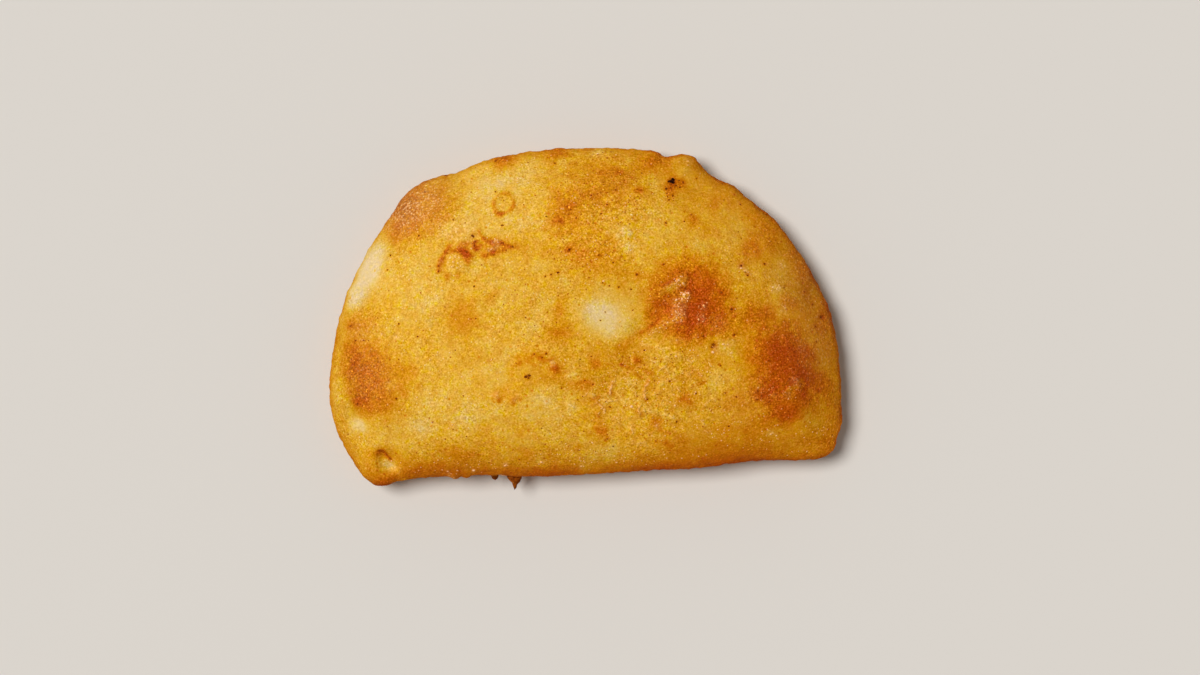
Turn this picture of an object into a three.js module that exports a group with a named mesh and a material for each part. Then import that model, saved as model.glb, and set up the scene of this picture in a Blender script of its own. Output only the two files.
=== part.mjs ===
// A fried corn-dough empanada: a half-moon turnover, one closed solid.
// Millimetres, +Z up. It lies as it is served, on its flattened underside.
// X runs along the fold, +Y points from the fold to the curved, sealed edge.
// The origin is the middle of the box around the empanada, at its underside.
import * as THREE from "three";

// ---- Driving dimensions -------------------------------------------------
const LENGTH = 130; // along the fold, corner to corner
const CROWN = 25.2; // top of the filled belly, before its lumps
const SHELF = 14.0; // height of the dough's margin round the filling
const BELLY = 2.3; // how full the belly is: 2 is a dome, more is a cushion
const BELLY_SHIFT = 2.5; // the filling lies so far from the middle, to the fold
const BELLY_POWER = 5; // how closely the belly follows the outline's corners
const BELLY_REACH = 1.08; // where the belly ends, as a share of the outline
const SEAM_HEIGHT = 6.8; // widest line of the sealed, curved edge
const FOLD_HEIGHT = 9.0; // widest line of the rounded fold
const SEAM_TAPER = 13.5; // how far in from the sealed edge the dough thins
const FOLD_ROUND = 10.0; // how far in from the fold its rounding reaches
const SEAM_BLUNT = 2.05; // 1 is a wedge, 2 is a half round
const FOLD_BLUNT = 2.5;
const UNDER_TAPER = 15.0; // how far in the underside lifts off the table
const UNDER_FOLD = 9.0;
const UNDER_BLUNT = 1.85;

// The outline is the smooth meeting of these edges. Each one faces a direction
// (degrees from +X, turning to +Y) and lies so far out from the middle (mm).
const EDGES = [
  { name: "fold_left", facing: -91.4, out: 41.26 },
  { name: "fold_right", facing: -85.5, out: 44.13 },
  { name: "left_cheek", facing: -154.2, out: 69.28 },
  { name: "left_side", facing: 169.1, out: 61.05 },
  { name: "left_backing", facing: 169.1, out: 67.7 },
  { name: "left_shoulder", facing: 145.0, out: 54.05 },
  { name: "crown_left", facing: 104.2, out: 43.48 },
  { name: "crown_right", facing: 85.3, out: 41.5 },
  { name: "right_shoulder", facing: 52.5, out: 47.67 },
  { name: "right_side", facing: 26.5, out: 55.58 },
  { name: "right_cheek", facing: -3.1, out: 65.62 },
];
const MEETING = 27.1; // how tightly the edges turn into each other

// Small swells and nicks of the hand-shaped edge: where (degrees), how far out
// (mm, negative is a nick) and how wide (degrees).
const SWELLS = [
  { at: -142.4, out: 2.3, wide: 3.3 },
  { at: -129.4, out: -0.63, wide: 15.4 },
  { at: -105.7, out: 0.33, wide: 8.9 },
  { at: -45.7, out: -0.69, wide: 5.9 },
  { at: -35.7, out: 0.81, wide: 3.4 },
  { at: -29.6, out: -1.28, wide: 3.1 },
  { at: -28.7, out: 0.74, wide: 6.5 },
  { at: -8.1, out: -0.39, wide: 2.8 },
  { at: 16.7, out: -0.4, wide: 3.4 },
  { at: 36.2, out: 0.81, wide: 3.3 },
  { at: 41.0, out: -0.6, wide: 8.0 },
  { at: 51.8, out: 1.03, wide: 3.4 },
  { at: 58.7, out: -1.1, wide: 2.4 },
  { at: 102.9, out: -0.28, wide: 4.7 },
  { at: 117.1, out: 0.37, wide: 5.1 },
  { at: 129.1, out: -0.7, wide: 3.1 },
];

// Lumps of filling that push the top skin up, and hollows between them:
// centre x, y, reach along x and y, height (mm).
const LUMPS = [
  { name: "upper_left", x: -38, y: 25, rx: 13, ry: 11, h: 0.9 },
  { name: "lower_left", x: -51, y: -14, rx: 10, ry: 13, h: 0.9 },
  { name: "upper_middle", x: 2, y: 29, rx: 15, ry: 10, h: 0.7 },
  { name: "right_of_middle", x: 29, y: 5, rx: 11, ry: 10, h: 1.1 },
  { name: "far_right", x: 53, y: -13, rx: 9, ry: 13, h: 1.0 },
  { name: "low_middle", x: 12, y: -26, rx: 22, ry: 9, h: 0.6 },
  { name: "pale_hollow", x: 8, y: -1, rx: 8, ry: 7, h: -0.9 },
  { name: "left_strip", x: -54, y: 5, rx: 6, ry: 10, h: -0.5 },
  { name: "corner_hollow", x: -48.5, y: -31, rx: 4, ry: 5, h: -0.5 },
];

// The crease beside the lump right of the middle, and the pit in the corner.
const CREASE = { x0: 14.5, y0: -5.5, x1: 27.5, y1: 6.0, wide: 2.4, deep: 0.9 };
const PIT = { x: -50.5, y: -35.5, r: 2.9, deep: 1.6 };

// The facets: a sheet over the top, and bands under the rim that run in to a
// flat patch, where the empanada rests.
const ALONG = 66; // facets of the sheet along the fold
const ACROSS = 48; // and from the fold to the sealed edge
const BANDS = [1, 0.99, 0.965, 0.925, 0.86, 0.77, 0.65]; // shares of the outline
const OUTLINE_STEPS = 720;

// ---- Outline ------------------------------------------------------------
const RAD = Math.PI / 180;
const clamp01 = (t) => Math.min(1, Math.max(0, t));
const smooth = (a, b, t) => {
  const k = clamp01((t - a) / (b - a));
  return k * k * (3 - 2 * k);
};
const mix = (a, b, k) => a + (b - a) * k;

// 0 in the middle, 1 on the outline: the lower the power, the rounder its levels.
function gauge(x, y, power) {
  let sum = 0;
  for (const e of EDGES) {
    const a = e.facing * RAD;
    const share = (x * Math.cos(a) + y * Math.sin(a)) / e.out;
    if (share > 0) sum += Math.pow(share, power);
  }
  return Math.pow(sum, 1 / power);
}

// How far out the outline lies; the swells fade from the rim inwards.
function reach(theta, share = 1) {
  let r = 1 / gauge(Math.cos(theta), Math.sin(theta), MEETING);
  for (const s of SWELLS) {
    const off = theta / RAD - s.at;
    const turn = off - 360 * Math.round(off / 360);
    r += s.out * Math.exp(-Math.pow(turn / s.wide, 2)) * Math.pow(share, 6);
  }
  return r;
}

const rim = Array.from({ length: OUTLINE_STEPS }, (_, i) => {
  const a = (i / OUTLINE_STEPS) * 2 * Math.PI;
  const r = reach(a);
  return [r * Math.cos(a), r * Math.sin(a)];
});
const span = (k) => {
  const v = rim.map((p) => p[k]);
  return [Math.min(...v), Math.max(...v)];
};
const [LEFT, RIGHT] = span(0);
const [FRONT, BACK] = span(1);
const TRUE = LENGTH / (RIGHT - LEFT); // brings the drawn outline to LENGTH

function inFromRim(x, y) {
  let best = Infinity;
  for (let i = 0; i < OUTLINE_STEPS; i++) {
    const [ax, ay] = rim[i];
    const [bx, by] = rim[(i + 1) % OUTLINE_STEPS];
    const dx = bx - ax,
      dy = by - ay;
    const t = clamp01(((x - ax) * dx + (y - ay) * dy) / (dx * dx + dy * dy));
    best = Math.min(best, Math.hypot(x - ax - t * dx, y - ay - t * dy));
  }
  return best;
}

// ---- Skins --------------------------------------------------------------
// 1 along the fold, 0 along the sealed edge, turning over at the two corners.
const foldShare = (theta) => smooth(0.46, 0.78, -Math.sin(theta));
const seamHeight = (theta) => mix(SEAM_HEIGHT, FOLD_HEIGHT, foldShare(theta));
const rounding = (d, wide, blunt) =>
  Math.pow(1 - Math.pow(1 - clamp01(d / wide), 2), 1 / blunt);

function topHeight(x, y, theta, d) {
  const f = foldShare(theta);
  const rise = rounding(
    d,
    mix(SEAM_TAPER, FOLD_ROUND, f),
    mix(SEAM_BLUNT, FOLD_BLUNT, f),
  );
  const g = gauge(x, y + BELLY_SHIFT, BELLY_POWER) / BELLY_REACH;
  const full = 1 - Math.pow(g, BELLY);
  let z = SHELF + (CROWN - SHELF) * 0.5 * (full + Math.hypot(full, 0.1));
  for (const l of LUMPS)
    z +=
      l.h *
      Math.exp(-Math.pow((x - l.x) / l.rx, 2) - Math.pow((y - l.y) / l.ry, 2));
  const c = CREASE,
    cx = c.x1 - c.x0,
    cy = c.y1 - c.y0;
  const t = clamp01(((x - c.x0) * cx + (y - c.y0) * cy) / (cx * cx + cy * cy));
  const off = Math.hypot(x - c.x0 - t * cx, y - c.y0 - t * cy) / c.wide;
  z -= c.deep * Math.exp(-off * off);
  const pit = Math.hypot(x - PIT.x, y - PIT.y) / PIT.r;
  z -= PIT.deep * Math.exp(-Math.pow(pit, 4));
  const seam = seamHeight(theta);
  return seam + rise * (z - seam);
}

function underHeight(theta, d) {
  const f = foldShare(theta);
  return (
    seamHeight(theta) *
    (1 - rounding(d, mix(UNDER_TAPER, UNDER_FOLD, f), mix(UNDER_BLUNT, 2, f)))
  );
}

// ---- Facets -------------------------------------------------------------
// The sheet's four sides follow four stretches of the outline, from corner to
// corner, and each square ring of the sheet is a smaller copy of the outline.
const SIDES = [
  { from: -35.7, to: 38.1 }, // right
  { from: 38.1, to: 141.9 }, // sealed edge
  { from: 141.9, to: 217.6 }, // left
  { from: 217.6, to: 324.3 }, // fold
];
function heading(side, along) {
  const middle = (SIDES[side].from + SIDES[side].to) / 2;
  const half = (SIDES[side].to - SIDES[side].from) / 2;
  return middle * RAD + Math.atan(along * Math.tan(half * RAD));
}
// a and b run from -1 to 1 across the sheet.
function sheetSpot(a, b) {
  const ring = Math.max(Math.abs(a), Math.abs(b));
  if (ring < 1e-9) return { x: 0, y: 0, theta: 0, d: 99 };
  const theta =
    Math.abs(a) >= Math.abs(b)
      ? heading(a > 0 ? 0 : 2, b / a)
      : heading(b > 0 ? 1 : 3, -a / b);
  return atShare(theta, mix(ring, Math.sin((ring * Math.PI) / 2), 0.7));
}
function atShare(theta, share) {
  const r = share * reach(theta, share);
  const x = r * Math.cos(theta),
    y = r * Math.sin(theta);
  return { x, y, theta, d: share > 0.99999 ? 0 : inFromRim(x, y) };
}

function crustGeometry() {
  const points = [],
    faces = [];
  const put = (p, z) => {
    points.push(
      (p.x - (LEFT + RIGHT) / 2) * TRUE,
      (p.y - (FRONT + BACK) / 2) * TRUE,
      z,
    );
    return points.length / 3 - 1;
  };

  // Top skin.
  const top = [];
  for (let j = 0; j <= ACROSS; j++) {
    top.push([]);
    for (let i = 0; i <= ALONG; i++) {
      const p = sheetSpot((2 * i) / ALONG - 1, (2 * j) / ACROSS - 1);
      top[j].push(put(p, topHeight(p.x, p.y, p.theta, p.d)));
    }
  }
  for (let j = 0; j < ACROSS; j++)
    for (let i = 0; i < ALONG; i++) {
      const a = top[j][i],
        b = top[j][i + 1],
        c = top[j + 1][i + 1],
        d = top[j + 1][i];
      const outward = i < ALONG / 2 === j < ACROSS / 2; // the cut runs to the corner
      if (outward) faces.push(a, b, c, a, c, d);
      else faces.push(a, b, d, b, c, d);
    }

  // The rim, once round from the right-hand fold corner, turning to +Y.
  const around = [];
  for (let j = 0; j < ACROSS; j++)
    around.push([top[j][ALONG], heading(0, (2 * j) / ACROSS - 1)]);
  for (let i = ALONG; i > 0; i--)
    around.push([top[ACROSS][i], heading(1, 1 - (2 * i) / ALONG)]);
  for (let j = ACROSS; j > 0; j--)
    around.push([top[j][0], heading(2, 1 - (2 * j) / ACROSS)]);
  for (let i = 0; i < ALONG; i++)
    around.push([top[0][i], heading(3, (2 * i) / ALONG - 1)]);

  // Underside: bands from the rim in, then the flat patch.
  let outer = around.map(([index]) => index);
  for (const share of BANDS.slice(1)) {
    const inner = around.map(([, theta]) => {
      const p = atShare(theta, share);
      return put(p, underHeight(theta, p.d));
    });
    for (let k = 0; k < outer.length; k++) {
      const n = (k + 1) % outer.length;
      faces.push(outer[n], outer[k], inner[k], outer[n], inner[k], inner[n]);
    }
    outer = inner;
  }
  const middle = put({ x: 0, y: 0 }, 0);
  for (let k = 0; k < outer.length; k++)
    faces.push(outer[(k + 1) % outer.length], outer[k], middle);

  const geometry = new THREE.BufferGeometry();
  geometry.setAttribute("position", new THREE.Float32BufferAttribute(points, 3));
  geometry.setIndex(faces);
  geometry.computeVertexNormals();
  return geometry;
}

const crust = new THREE.Mesh(
  crustGeometry(),
  new THREE.MeshStandardMaterial({
    name: "fried_corn_crust",
    color: new THREE.Color(0.82, 0.57, 0.2),
    roughness: 0.55,
    metalness: 0,
  }),
);
crust.name = "empanada";

const part = new THREE.Group();
part.add(crust);

export default part;
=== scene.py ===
# A fried corn-dough empanada, half-moon shaped, golden with browned patches.
# The shape comes from the same edges, swells and belly as the CAD solid; the
# crust's relief, blisters, flakes, grain and colour are made here.
import bpy
import math
import numpy as np
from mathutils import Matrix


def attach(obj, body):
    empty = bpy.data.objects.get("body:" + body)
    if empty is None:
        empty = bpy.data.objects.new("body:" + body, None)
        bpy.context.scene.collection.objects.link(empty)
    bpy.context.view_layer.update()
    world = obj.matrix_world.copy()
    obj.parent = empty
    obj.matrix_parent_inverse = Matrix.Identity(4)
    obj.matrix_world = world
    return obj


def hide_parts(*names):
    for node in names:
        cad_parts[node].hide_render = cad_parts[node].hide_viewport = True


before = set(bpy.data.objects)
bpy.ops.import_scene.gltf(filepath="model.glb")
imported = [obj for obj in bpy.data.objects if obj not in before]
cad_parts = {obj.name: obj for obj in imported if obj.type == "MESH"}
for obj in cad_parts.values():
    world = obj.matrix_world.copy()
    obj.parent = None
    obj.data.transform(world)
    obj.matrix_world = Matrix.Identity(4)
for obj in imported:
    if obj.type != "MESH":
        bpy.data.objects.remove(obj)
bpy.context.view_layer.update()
scene = bpy.context.scene

# ---------------------------------------------------------------- the shape
# Millimetres here; the same numbers as the solid's.
LENGTH = 130.0
CROWN, SHELF = 25.2, 14.0
BELLY, BELLY_SHIFT, BELLY_POWER, BELLY_REACH = 2.3, 2.5, 5.0, 1.08
SEAM_HEIGHT, FOLD_HEIGHT = 6.8, 9.0
SEAM_TAPER, FOLD_ROUND = 13.5, 10.0
SEAM_BLUNT, FOLD_BLUNT = 2.05, 2.5
UNDER_TAPER, UNDER_FOLD, UNDER_BLUNT = 15.0, 9.0, 1.85

EDGES = np.array([  # facing (degrees), out (mm)
    (-91.4, 41.26), (-85.5, 44.13), (-154.2, 69.28), (169.1, 61.05), (169.1, 67.7), (145.0, 54.05),
    (104.2, 43.48), (85.3, 41.5), (52.5, 47.67), (26.5, 55.58), (-3.1, 65.62)])
MEETING = 27.1
SWELLS = np.array([  # at (degrees), out (mm), wide (degrees)
    (-142.4, 2.3, 3.3), (-129.4, -0.63, 15.4), (-105.7, 0.33, 8.9), (-45.7, -0.69, 5.9), (-35.7, 0.81, 3.4),
    (-29.6, -1.28, 3.1), (-28.7, 0.74, 6.5), (-8.1, -0.39, 2.8), (16.7, -0.4, 3.4), (36.2, 0.81, 3.3),
    (41.0, -0.6, 8.0), (51.8, 1.03, 3.4), (58.7, -1.1, 2.4), (102.9, -0.28, 4.7), (117.1, 0.37, 5.1),
    (129.1, -0.7, 3.1)])
LUMPS = [  # x, y, rx, ry, h
    (-38, 25, 13, 11, 0.9), (-51, -14, 10, 13, 0.9), (2, 29, 15, 10, 0.7), (29, 5, 11, 10, 1.1),
    (53, -13, 9, 13, 1.0), (12, -26, 22, 9, 0.6), (8, -1, 8, 7, -0.9), (-54, 5, 6, 10, -0.5),
    (-48.5, -31, 4, 5, -0.5)]
CREASE = (14.5, -5.5, 27.5, 6.0, 2.4, 0.9)
PIT = (-50.5, -35.5, 2.9, 1.6)
SIDES = [(-35.7, 38.1), (38.1, 141.9), (141.9, 217.6), (217.6, 324.3)]


def gauge(x, y, power):
    a = np.radians(EDGES[:, 0])
    share = (np.multiply.outer(x, np.cos(a)) + np.multiply.outer(y, np.sin(a))) / EDGES[:, 1]
    return (np.maximum(share, 0) ** power).sum(-1) ** (1 / power)


def reach(theta, share=1.0):
    r = 1 / gauge(np.cos(theta), np.sin(theta), MEETING)
    off = np.degrees(theta)[..., None] - SWELLS[:, 0]
    off = off - 360 * np.round(off / 360)
    return r + (SWELLS[:, 1] * np.exp(-(off / SWELLS[:, 2]) ** 2)).sum(-1) * np.asarray(share) ** 6


rim_t = np.arange(720) / 720 * 2 * np.pi
rim_r = reach(rim_t)
rim_x, rim_y = rim_r * np.cos(rim_t), rim_r * np.sin(rim_t)
MID_X, MID_Y = (rim_x.min() + rim_x.max()) / 2, (rim_y.min() + rim_y.max()) / 2
TRUE = LENGTH / (rim_x.max() - rim_x.min())


def in_from_rim(x, y):
    ax, ay = rim_x, rim_y
    dx, dy = np.roll(ax, -1) - ax, np.roll(ay, -1) - ay
    ll = dx * dx + dy * dy
    out = np.empty(x.size)
    for k in range(0, x.size, 4000):
        px, py = x[k:k + 4000, None] - ax, y[k:k + 4000, None] - ay
        t = np.clip((px * dx + py * dy) / ll, 0, 1)
        out[k:k + 4000] = np.hypot(px - t * dx, py - t * dy).min(1)
    return out


def smooth(a, b, t):
    k = np.clip((t - a) / (b - a), 0, 1)
    return k * k * (3 - 2 * k)


def mix(a, b, k):
    return a + (b - a) * k


def rounding(d, wide, blunt):
    return (1 - (1 - np.clip(d / wide, 0, 1)) ** 2) ** (1 / blunt)


def fold_share(theta):
    return smooth(0.46, 0.78, -np.sin(theta))


def seam_height(theta):
    return mix(SEAM_HEIGHT, FOLD_HEIGHT, fold_share(theta))


def top_height(x, y, theta, d):
    f = fold_share(theta)
    rise = rounding(d, mix(SEAM_TAPER, FOLD_ROUND, f), mix(SEAM_BLUNT, FOLD_BLUNT, f))
    full = 1 - (gauge(x, y + BELLY_SHIFT, BELLY_POWER) / BELLY_REACH) ** BELLY
    z = SHELF + (CROWN - SHELF) * 0.5 * (full + np.hypot(full, 0.1))
    for lx, ly, rx, ry, h in LUMPS:
        z = z + h * np.exp(-((x - lx) / rx) ** 2 - ((y - ly) / ry) ** 2)
    x0, y0, x1, y1, wide, deep = CREASE
    cx, cy = x1 - x0, y1 - y0
    t = np.clip(((x - x0) * cx + (y - y0) * cy) / (cx * cx + cy * cy), 0, 1)
    z = z - deep * np.exp(-(np.hypot(x - x0 - t * cx, y - y0 - t * cy) / wide) ** 2)
    z = z - PIT[3] * np.exp(-(np.hypot(x - PIT[0], y - PIT[1]) / PIT[2]) ** 4)
    seam = seam_height(theta)
    return seam + rise * (z - seam)


def under_height(theta, d):
    f = fold_share(theta)
    return seam_height(theta) * (1 - rounding(d, mix(UNDER_TAPER, UNDER_FOLD, f), mix(UNDER_BLUNT, 2.0, f)))


def heading(side, along):
    lo, hi = SIDES[side]
    return np.radians((lo + hi) / 2) + np.arctan(along * math.tan(math.radians((hi - lo) / 2)))


def sheet_spots(a, b):
    """Sheet places (-1 to 1) to heading and share of the outline."""
    ring = np.maximum(np.abs(a), np.abs(b))
    flat = np.abs(a) >= np.abs(b)
    fa, fb = np.where(np.abs(a) < 1e-12, 1.0, a), np.where(np.abs(b) < 1e-12, 1.0, b)
    theta = np.where(
        flat,
        np.where(a > 0, heading(0, b / fa), heading(2, b / fa)),
        np.where(b > 0, heading(1, -a / fb), heading(3, -a / fb)))
    theta = np.where(ring < 1e-9, 0.0, theta)
    t = 1 - ring
    share = 1 - 1.08 * t * t / (t + 0.08)  # rings crowd towards the rim, where the wall is steep
    share = np.where(ring < 1e-9, 0.0, share)
    return theta, share


# ---------------------------------------------------------------- noise
def lattice(seed):
    rng = np.random.RandomState(seed)
    perm = rng.permutation(512)
    g = rng.normal(size=(512, 3))
    g /= np.linalg.norm(g, axis=1)[:, None]
    return perm, g


def noise(p, size, seed):
    """Smooth noise, about -1 to 1, with features of the given size in mm."""
    perm, grads = lattice(seed)
    q = p / size + 37.3
    i = np.floor(q).astype(np.int64)
    f = q - i
    w = f * f * f * (f * (f * 6 - 15) + 10)
    out = np.zeros(len(p))
    for dx in (0, 1):
        for dy in (0, 1):
            for dz in (0, 1):
                h = perm[(perm[(perm[(i[:, 0] + dx) & 511] + i[:, 1] + dy) & 511] + i[:, 2] + dz) & 511]
                g = grads[h]
                dot = g[:, 0] * (f[:, 0] - dx) + g[:, 1] * (f[:, 1] - dy) + g[:, 2] * (f[:, 2] - dz)
                wx = w[:, 0] if dx else 1 - w[:, 0]
                wy = w[:, 1] if dy else 1 - w[:, 1]
                wz = w[:, 2] if dz else 1 - w[:, 2]
                out += dot * wx * wy * wz
    return out * 1.6


def cloud(p, size, seed, octaves=3, fall=0.5):
    out, k = np.zeros(len(p)), 1.0
    for o in range(octaves):
        out += noise(p, size, seed + o) * k
        size, k = size * 0.5, k * fall
    return out


def grits(p, size, seed):
    """Distance to the nearest of scattered points, in cell sizes, and that point's own number."""
    q = p / size + 91.7
    i = np.floor(q).astype(np.int64)
    best, own = np.full(len(p), 9.0), np.zeros(len(p))
    rng = np.random.RandomState(seed)
    table = rng.rand(1024, 4)
    perm = rng.permutation(1024)
    for dx in (-1, 0, 1):
        for dy in (-1, 0, 1):
            for dz in (-1, 0, 1):
                c = i + (dx, dy, dz)
                h = perm[(perm[(perm[c[:, 0] & 1023] + c[:, 1]) & 1023] + c[:, 2]) & 1023]
                r = table[h]
                d = np.sqrt((((c + r[:, :3]) - q) ** 2).sum(1))
                closer = d < best
                best = np.where(closer, d, best)
                own = np.where(closer, r[:, 3], own)
    return best, own


# ---------------------------------------------------------------- the mesh
NX, NY = 336, 224
a, b = np.meshgrid(np.arange(NX + 1) * 2 / NX - 1, np.arange(NY + 1) * 2 / NY - 1)
top_t, top_s = sheet_spots(a.ravel(), b.ravel())
NX2, NY2 = NX // 2, NY // 2
a2, b2 = np.meshgrid(np.arange(NX2 + 1) * 2 / NX2 - 1, np.arange(NY2 + 1) * 2 / NY2 - 1)
und_t, und_s = sheet_spots(a2.ravel(), b2.ravel())

n_top = (NX + 1) * (NY + 1)
inner = np.zeros((NY2 + 1, NX2 + 1), bool)
inner[1:-1, 1:-1] = True
inner = inner.ravel()
und_index = np.empty((NY2 + 1) * (NX2 + 1), np.int64)
und_index[inner] = n_top + np.arange(inner.sum())
jj, ii = np.divmod(np.arange((NY2 + 1) * (NX2 + 1)), NX2 + 1)
rimmed = ~inner
und_index[rimmed] = (jj[rimmed] * 2) * (NX + 1) + ii[rimmed] * 2
und_index = und_index.reshape(NY2 + 1, NX2 + 1)

theta = np.concatenate([top_t, und_t[inner]])
share = np.concatenate([top_s, und_s[inner]])
n_all = len(theta)
is_top = np.arange(n_all) < n_top
r = share * reach(theta, share)
x, y = r * np.cos(theta), r * np.sin(theta)
d_in = in_from_rim(x, y)
d_in[share > 0.999999] = 0.0
z = np.where(is_top, top_height(x, y, theta, d_in), under_height(theta, d_in))
fold = fold_share(theta)

P = np.stack([x, y, z], 1)

top_id = np.arange(n_top).reshape(NY + 1, NX + 1)
faces, uvs = [], []
U0, U1, V0, V1 = 0.006, 0.994, 0.362, 0.994          # the top's place on the bake map
W0, W1, Z0, Z1 = 0.006, 0.54, 0.006, 0.346            # the underside's


def top_uv(i, j):
    return (mix(U0, U1, i / NX), mix(V0, V1, j / NY))


def und_uv(i, j):
    return (mix(W0, W1, i / NX2), mix(Z0, Z1, j / NY2))


for j in range(NY):
    for i in range(NX):
        faces.append((int(top_id[j, i]), int(top_id[j, i + 1]), int(top_id[j + 1, i + 1]), int(top_id[j + 1, i])))
        uvs.append((top_uv(i, j), top_uv(i + 1, j), top_uv(i + 1, j + 1), top_uv(i, j + 1)))
for j in range(NY2):
    for i in range(NX2):
        ring_v, ring_uv = [], []
        corners = [(i, j), (i, j + 1), (i + 1, j + 1), (i + 1, j)]  # turned over: it faces down
        for k in range(4):
            (i0, j0), (i1, j1) = corners[k], corners[(k + 1) % 4]
            ring_v.append(int(und_index[j0, i0]))
            ring_uv.append(und_uv(i0, j0))
            edge = (i0 == i1 and i0 in (0, NX2)) or (j0 == j1 and j0 in (0, NY2))
            if edge:
                ring_v.append(int(top_id[j0 + j1, i0 + i1]))
                ring_uv.append(und_uv((i0 + i1) / 2, (j0 + j1) / 2))
        faces.append(tuple(ring_v))
        uvs.append(tuple(ring_uv))


def normals_of(points):
    me = bpy.data.meshes.new("probe")
    me.from_pydata((points * 0.001).tolist(), [], faces)
    out = np.empty(len(points) * 3, np.float32)
    me.vertices.foreach_get("normal", out)
    bpy.data.meshes.remove(me)
    return out.reshape(-1, 3).astype(float)


N = normals_of(P)

# ---------------------------------------------------------------- where things are
# Features are placed by the pixel of the 1200 x 675 photograph that they show at,
# and carried straight down on to the crust.
MM_PER_PX = 0.252944
TURN = (0.998775, -0.049476)
HANG = 100.0 / 36.0 * 1200 * MM_PER_PX   # how far the camera hangs above the rim, mm
RIM_UP = 7.5
closer = HANG / (HANG + RIM_UP - z)      # the belly is nearer, so it shows a little larger
_p, _q = x / MM_PER_PX + 564.983, y / MM_PER_PX - 339.692
U = 600.0 + (TURN[0] * _p + TURN[1] * _q - 600.0) * closer
V = 337.5 + (TURN[1] * _p - TURN[0] * _q - 337.5) * closer


def place_of(u, v, up=RIM_UP):
    """The place in mm, at a height, that shows at a pixel."""
    k = HANG / (HANG + RIM_UP - up)
    u, v = 600.0 + (u - 600.0) / k, 337.5 + (v - 337.5) / k
    return ((TURN[0] * u + TURN[1] * v - 564.983) * MM_PER_PX, (TURN[1] * u - TURN[0] * v + 339.692) * MM_PER_PX)


# wandering copies of the pixel places, for edges that aren't ruled
wx = 5.0 * noise(P, 9.0, 11) + 2.6 * noise(P, 3.4, 12) + 1.2 * noise(P, 1.5, 13)
wy = 5.0 * noise(P, 9.0, 21) + 2.6 * noise(P, 3.4, 22) + 1.2 * noise(P, 1.5, 23)


rag = 0.62 * noise(P, 3.1, 14) + 0.52 * noise(P, 1.45, 15) + 0.34 * noise(P, 0.95, 16)


def blob(cx, cy, rx, ry=None, turn=0.0, power=2.0, wander=1.0, ragged=0.0):
    ry = rx if ry is None else ry
    t = math.radians(turn)
    du, dv = U + wx * wander - cx, V + wy * wander - cy
    s = (du * math.cos(t) + dv * math.sin(t)) / rx
    w = (-du * math.sin(t) + dv * math.cos(t)) / ry
    far = np.maximum(np.sqrt(s * s + w * w) + ragged * rag, 0)
    return np.exp(-far ** power) * is_top


def line(points, wide, power=2.0, wander=0.3, ragged=0.0):
    if len(points) == 1:
        return blob(points[0][0], points[0][1], wide, wide, 0.0, power, wander, ragged)
    u, v = U + wx * wander, V + wy * wander
    best = np.full(n_all, 1e9)
    for (x0, y0), (x1, y1) in zip(points[:-1], points[1:]):
        dx, dy = x1 - x0, y1 - y0
        t = np.clip(((u - x0) * dx + (v - y0) * dy) / (dx * dx + dy * dy), 0, 1)
        best = np.minimum(best, np.hypot(u - x0 - t * dx, v - y0 - t * dy))
    return np.exp(-np.maximum(best / wide + ragged * rag, 0) ** power) * is_top


def bank(points, steep, slow, wander=0.25):
    """A bank beside a line: it falls steeply on the line's right and slowly on its left."""
    u, v = U + wx * wander, V + wy * wander
    best, side = np.full(n_all, 1e9), np.zeros(n_all)
    # (side is how far off the line, left of it or right)
    for (x0, y0), (x1, y1) in zip(points[:-1], points[1:]):
        dx, dy = x1 - x0, y1 - y0
        t = np.clip(((u - x0) * dx + (v - y0) * dy) / (dx * dx + dy * dy), 0, 1)
        q = np.hypot(u - x0 - t * dx, v - y0 - t * dy)
        s = (dx * (v - y0) - dy * (u - x0)) / math.hypot(dx, dy)
        side = np.where(q < best, s, side)
        best = np.minimum(best, q)
    return np.exp(-(best / mix(steep, slow, smooth(-4.0, 4.0, side))) ** 2) * is_top


def loop(cx, cy, radius, wide, wander=0.15):
    q = np.hypot(U + wx * wander - cx, V + wy * wander - cy)
    return np.exp(-((q - radius) / wide) ** 2) * is_top


topf = is_top.astype(float)

# ---------------------------------------------------------------- colour fields
# toast: how far the crust has browned. 0.4 is pale dough, 0.9 golden, 1.5
# orange-brown, 2.5 dark red-brown.
# browner towards the right: partly real browning, partly painted shade where the crust turns away from the light
toast = 0.93 + 0.10 * smooth(520, 700, U) + 0.16 * smooth(690, 830, U)
even = 1 - 0.75 * np.clip(blob(366, 272, 15, 34, 24, 3.0, 0.3) + blob(606, 314, 28, 22, 0, 3.0, 0.4), 0, 1)
mottle = (0.15 * noise(P, 13.0, 30) + 0.17 * noise(P, 6.5, 31) + 0.15 * noise(P, 3.6, 32)
          + 0.10 * noise(P, 2.1, 33) + 0.05 * noise(P, 1.3, 34))
toast = toast + mottle * even
# towards the fold it is browner, and most of all on the bend itself: partly real browning, partly painted shade where
# the fold curves away from the light
toast = toast + fold * topf * (0.58 * np.exp(-(d_in / 4.4) ** 2) + 0.50 * np.exp(-(d_in / 2.0) ** 2))
toast = toast + topf * fold * smooth(600, 720, U) * 0.28 * np.exp(-(d_in / 9.0) ** 2)
# a thin browned line along the sealed edge, stronger on the right
toast = toast + (1 - fold) * topf * np.exp(-(d_in / 0.9) ** 2) * (0.30 + 0.18 * smooth(480, 720, U) + 0.3 * noise(P, 5.0, 36))
# browner again along the sealed edge at the right: partly real browning, partly painted shade
toast = toast + (1 - fold) * topf * smooth(640, 740, U) * 0.36 * np.exp(-(d_in / 5.0) ** 2) * (1 - 0.55 * smooth(320, 380, V))

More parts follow.
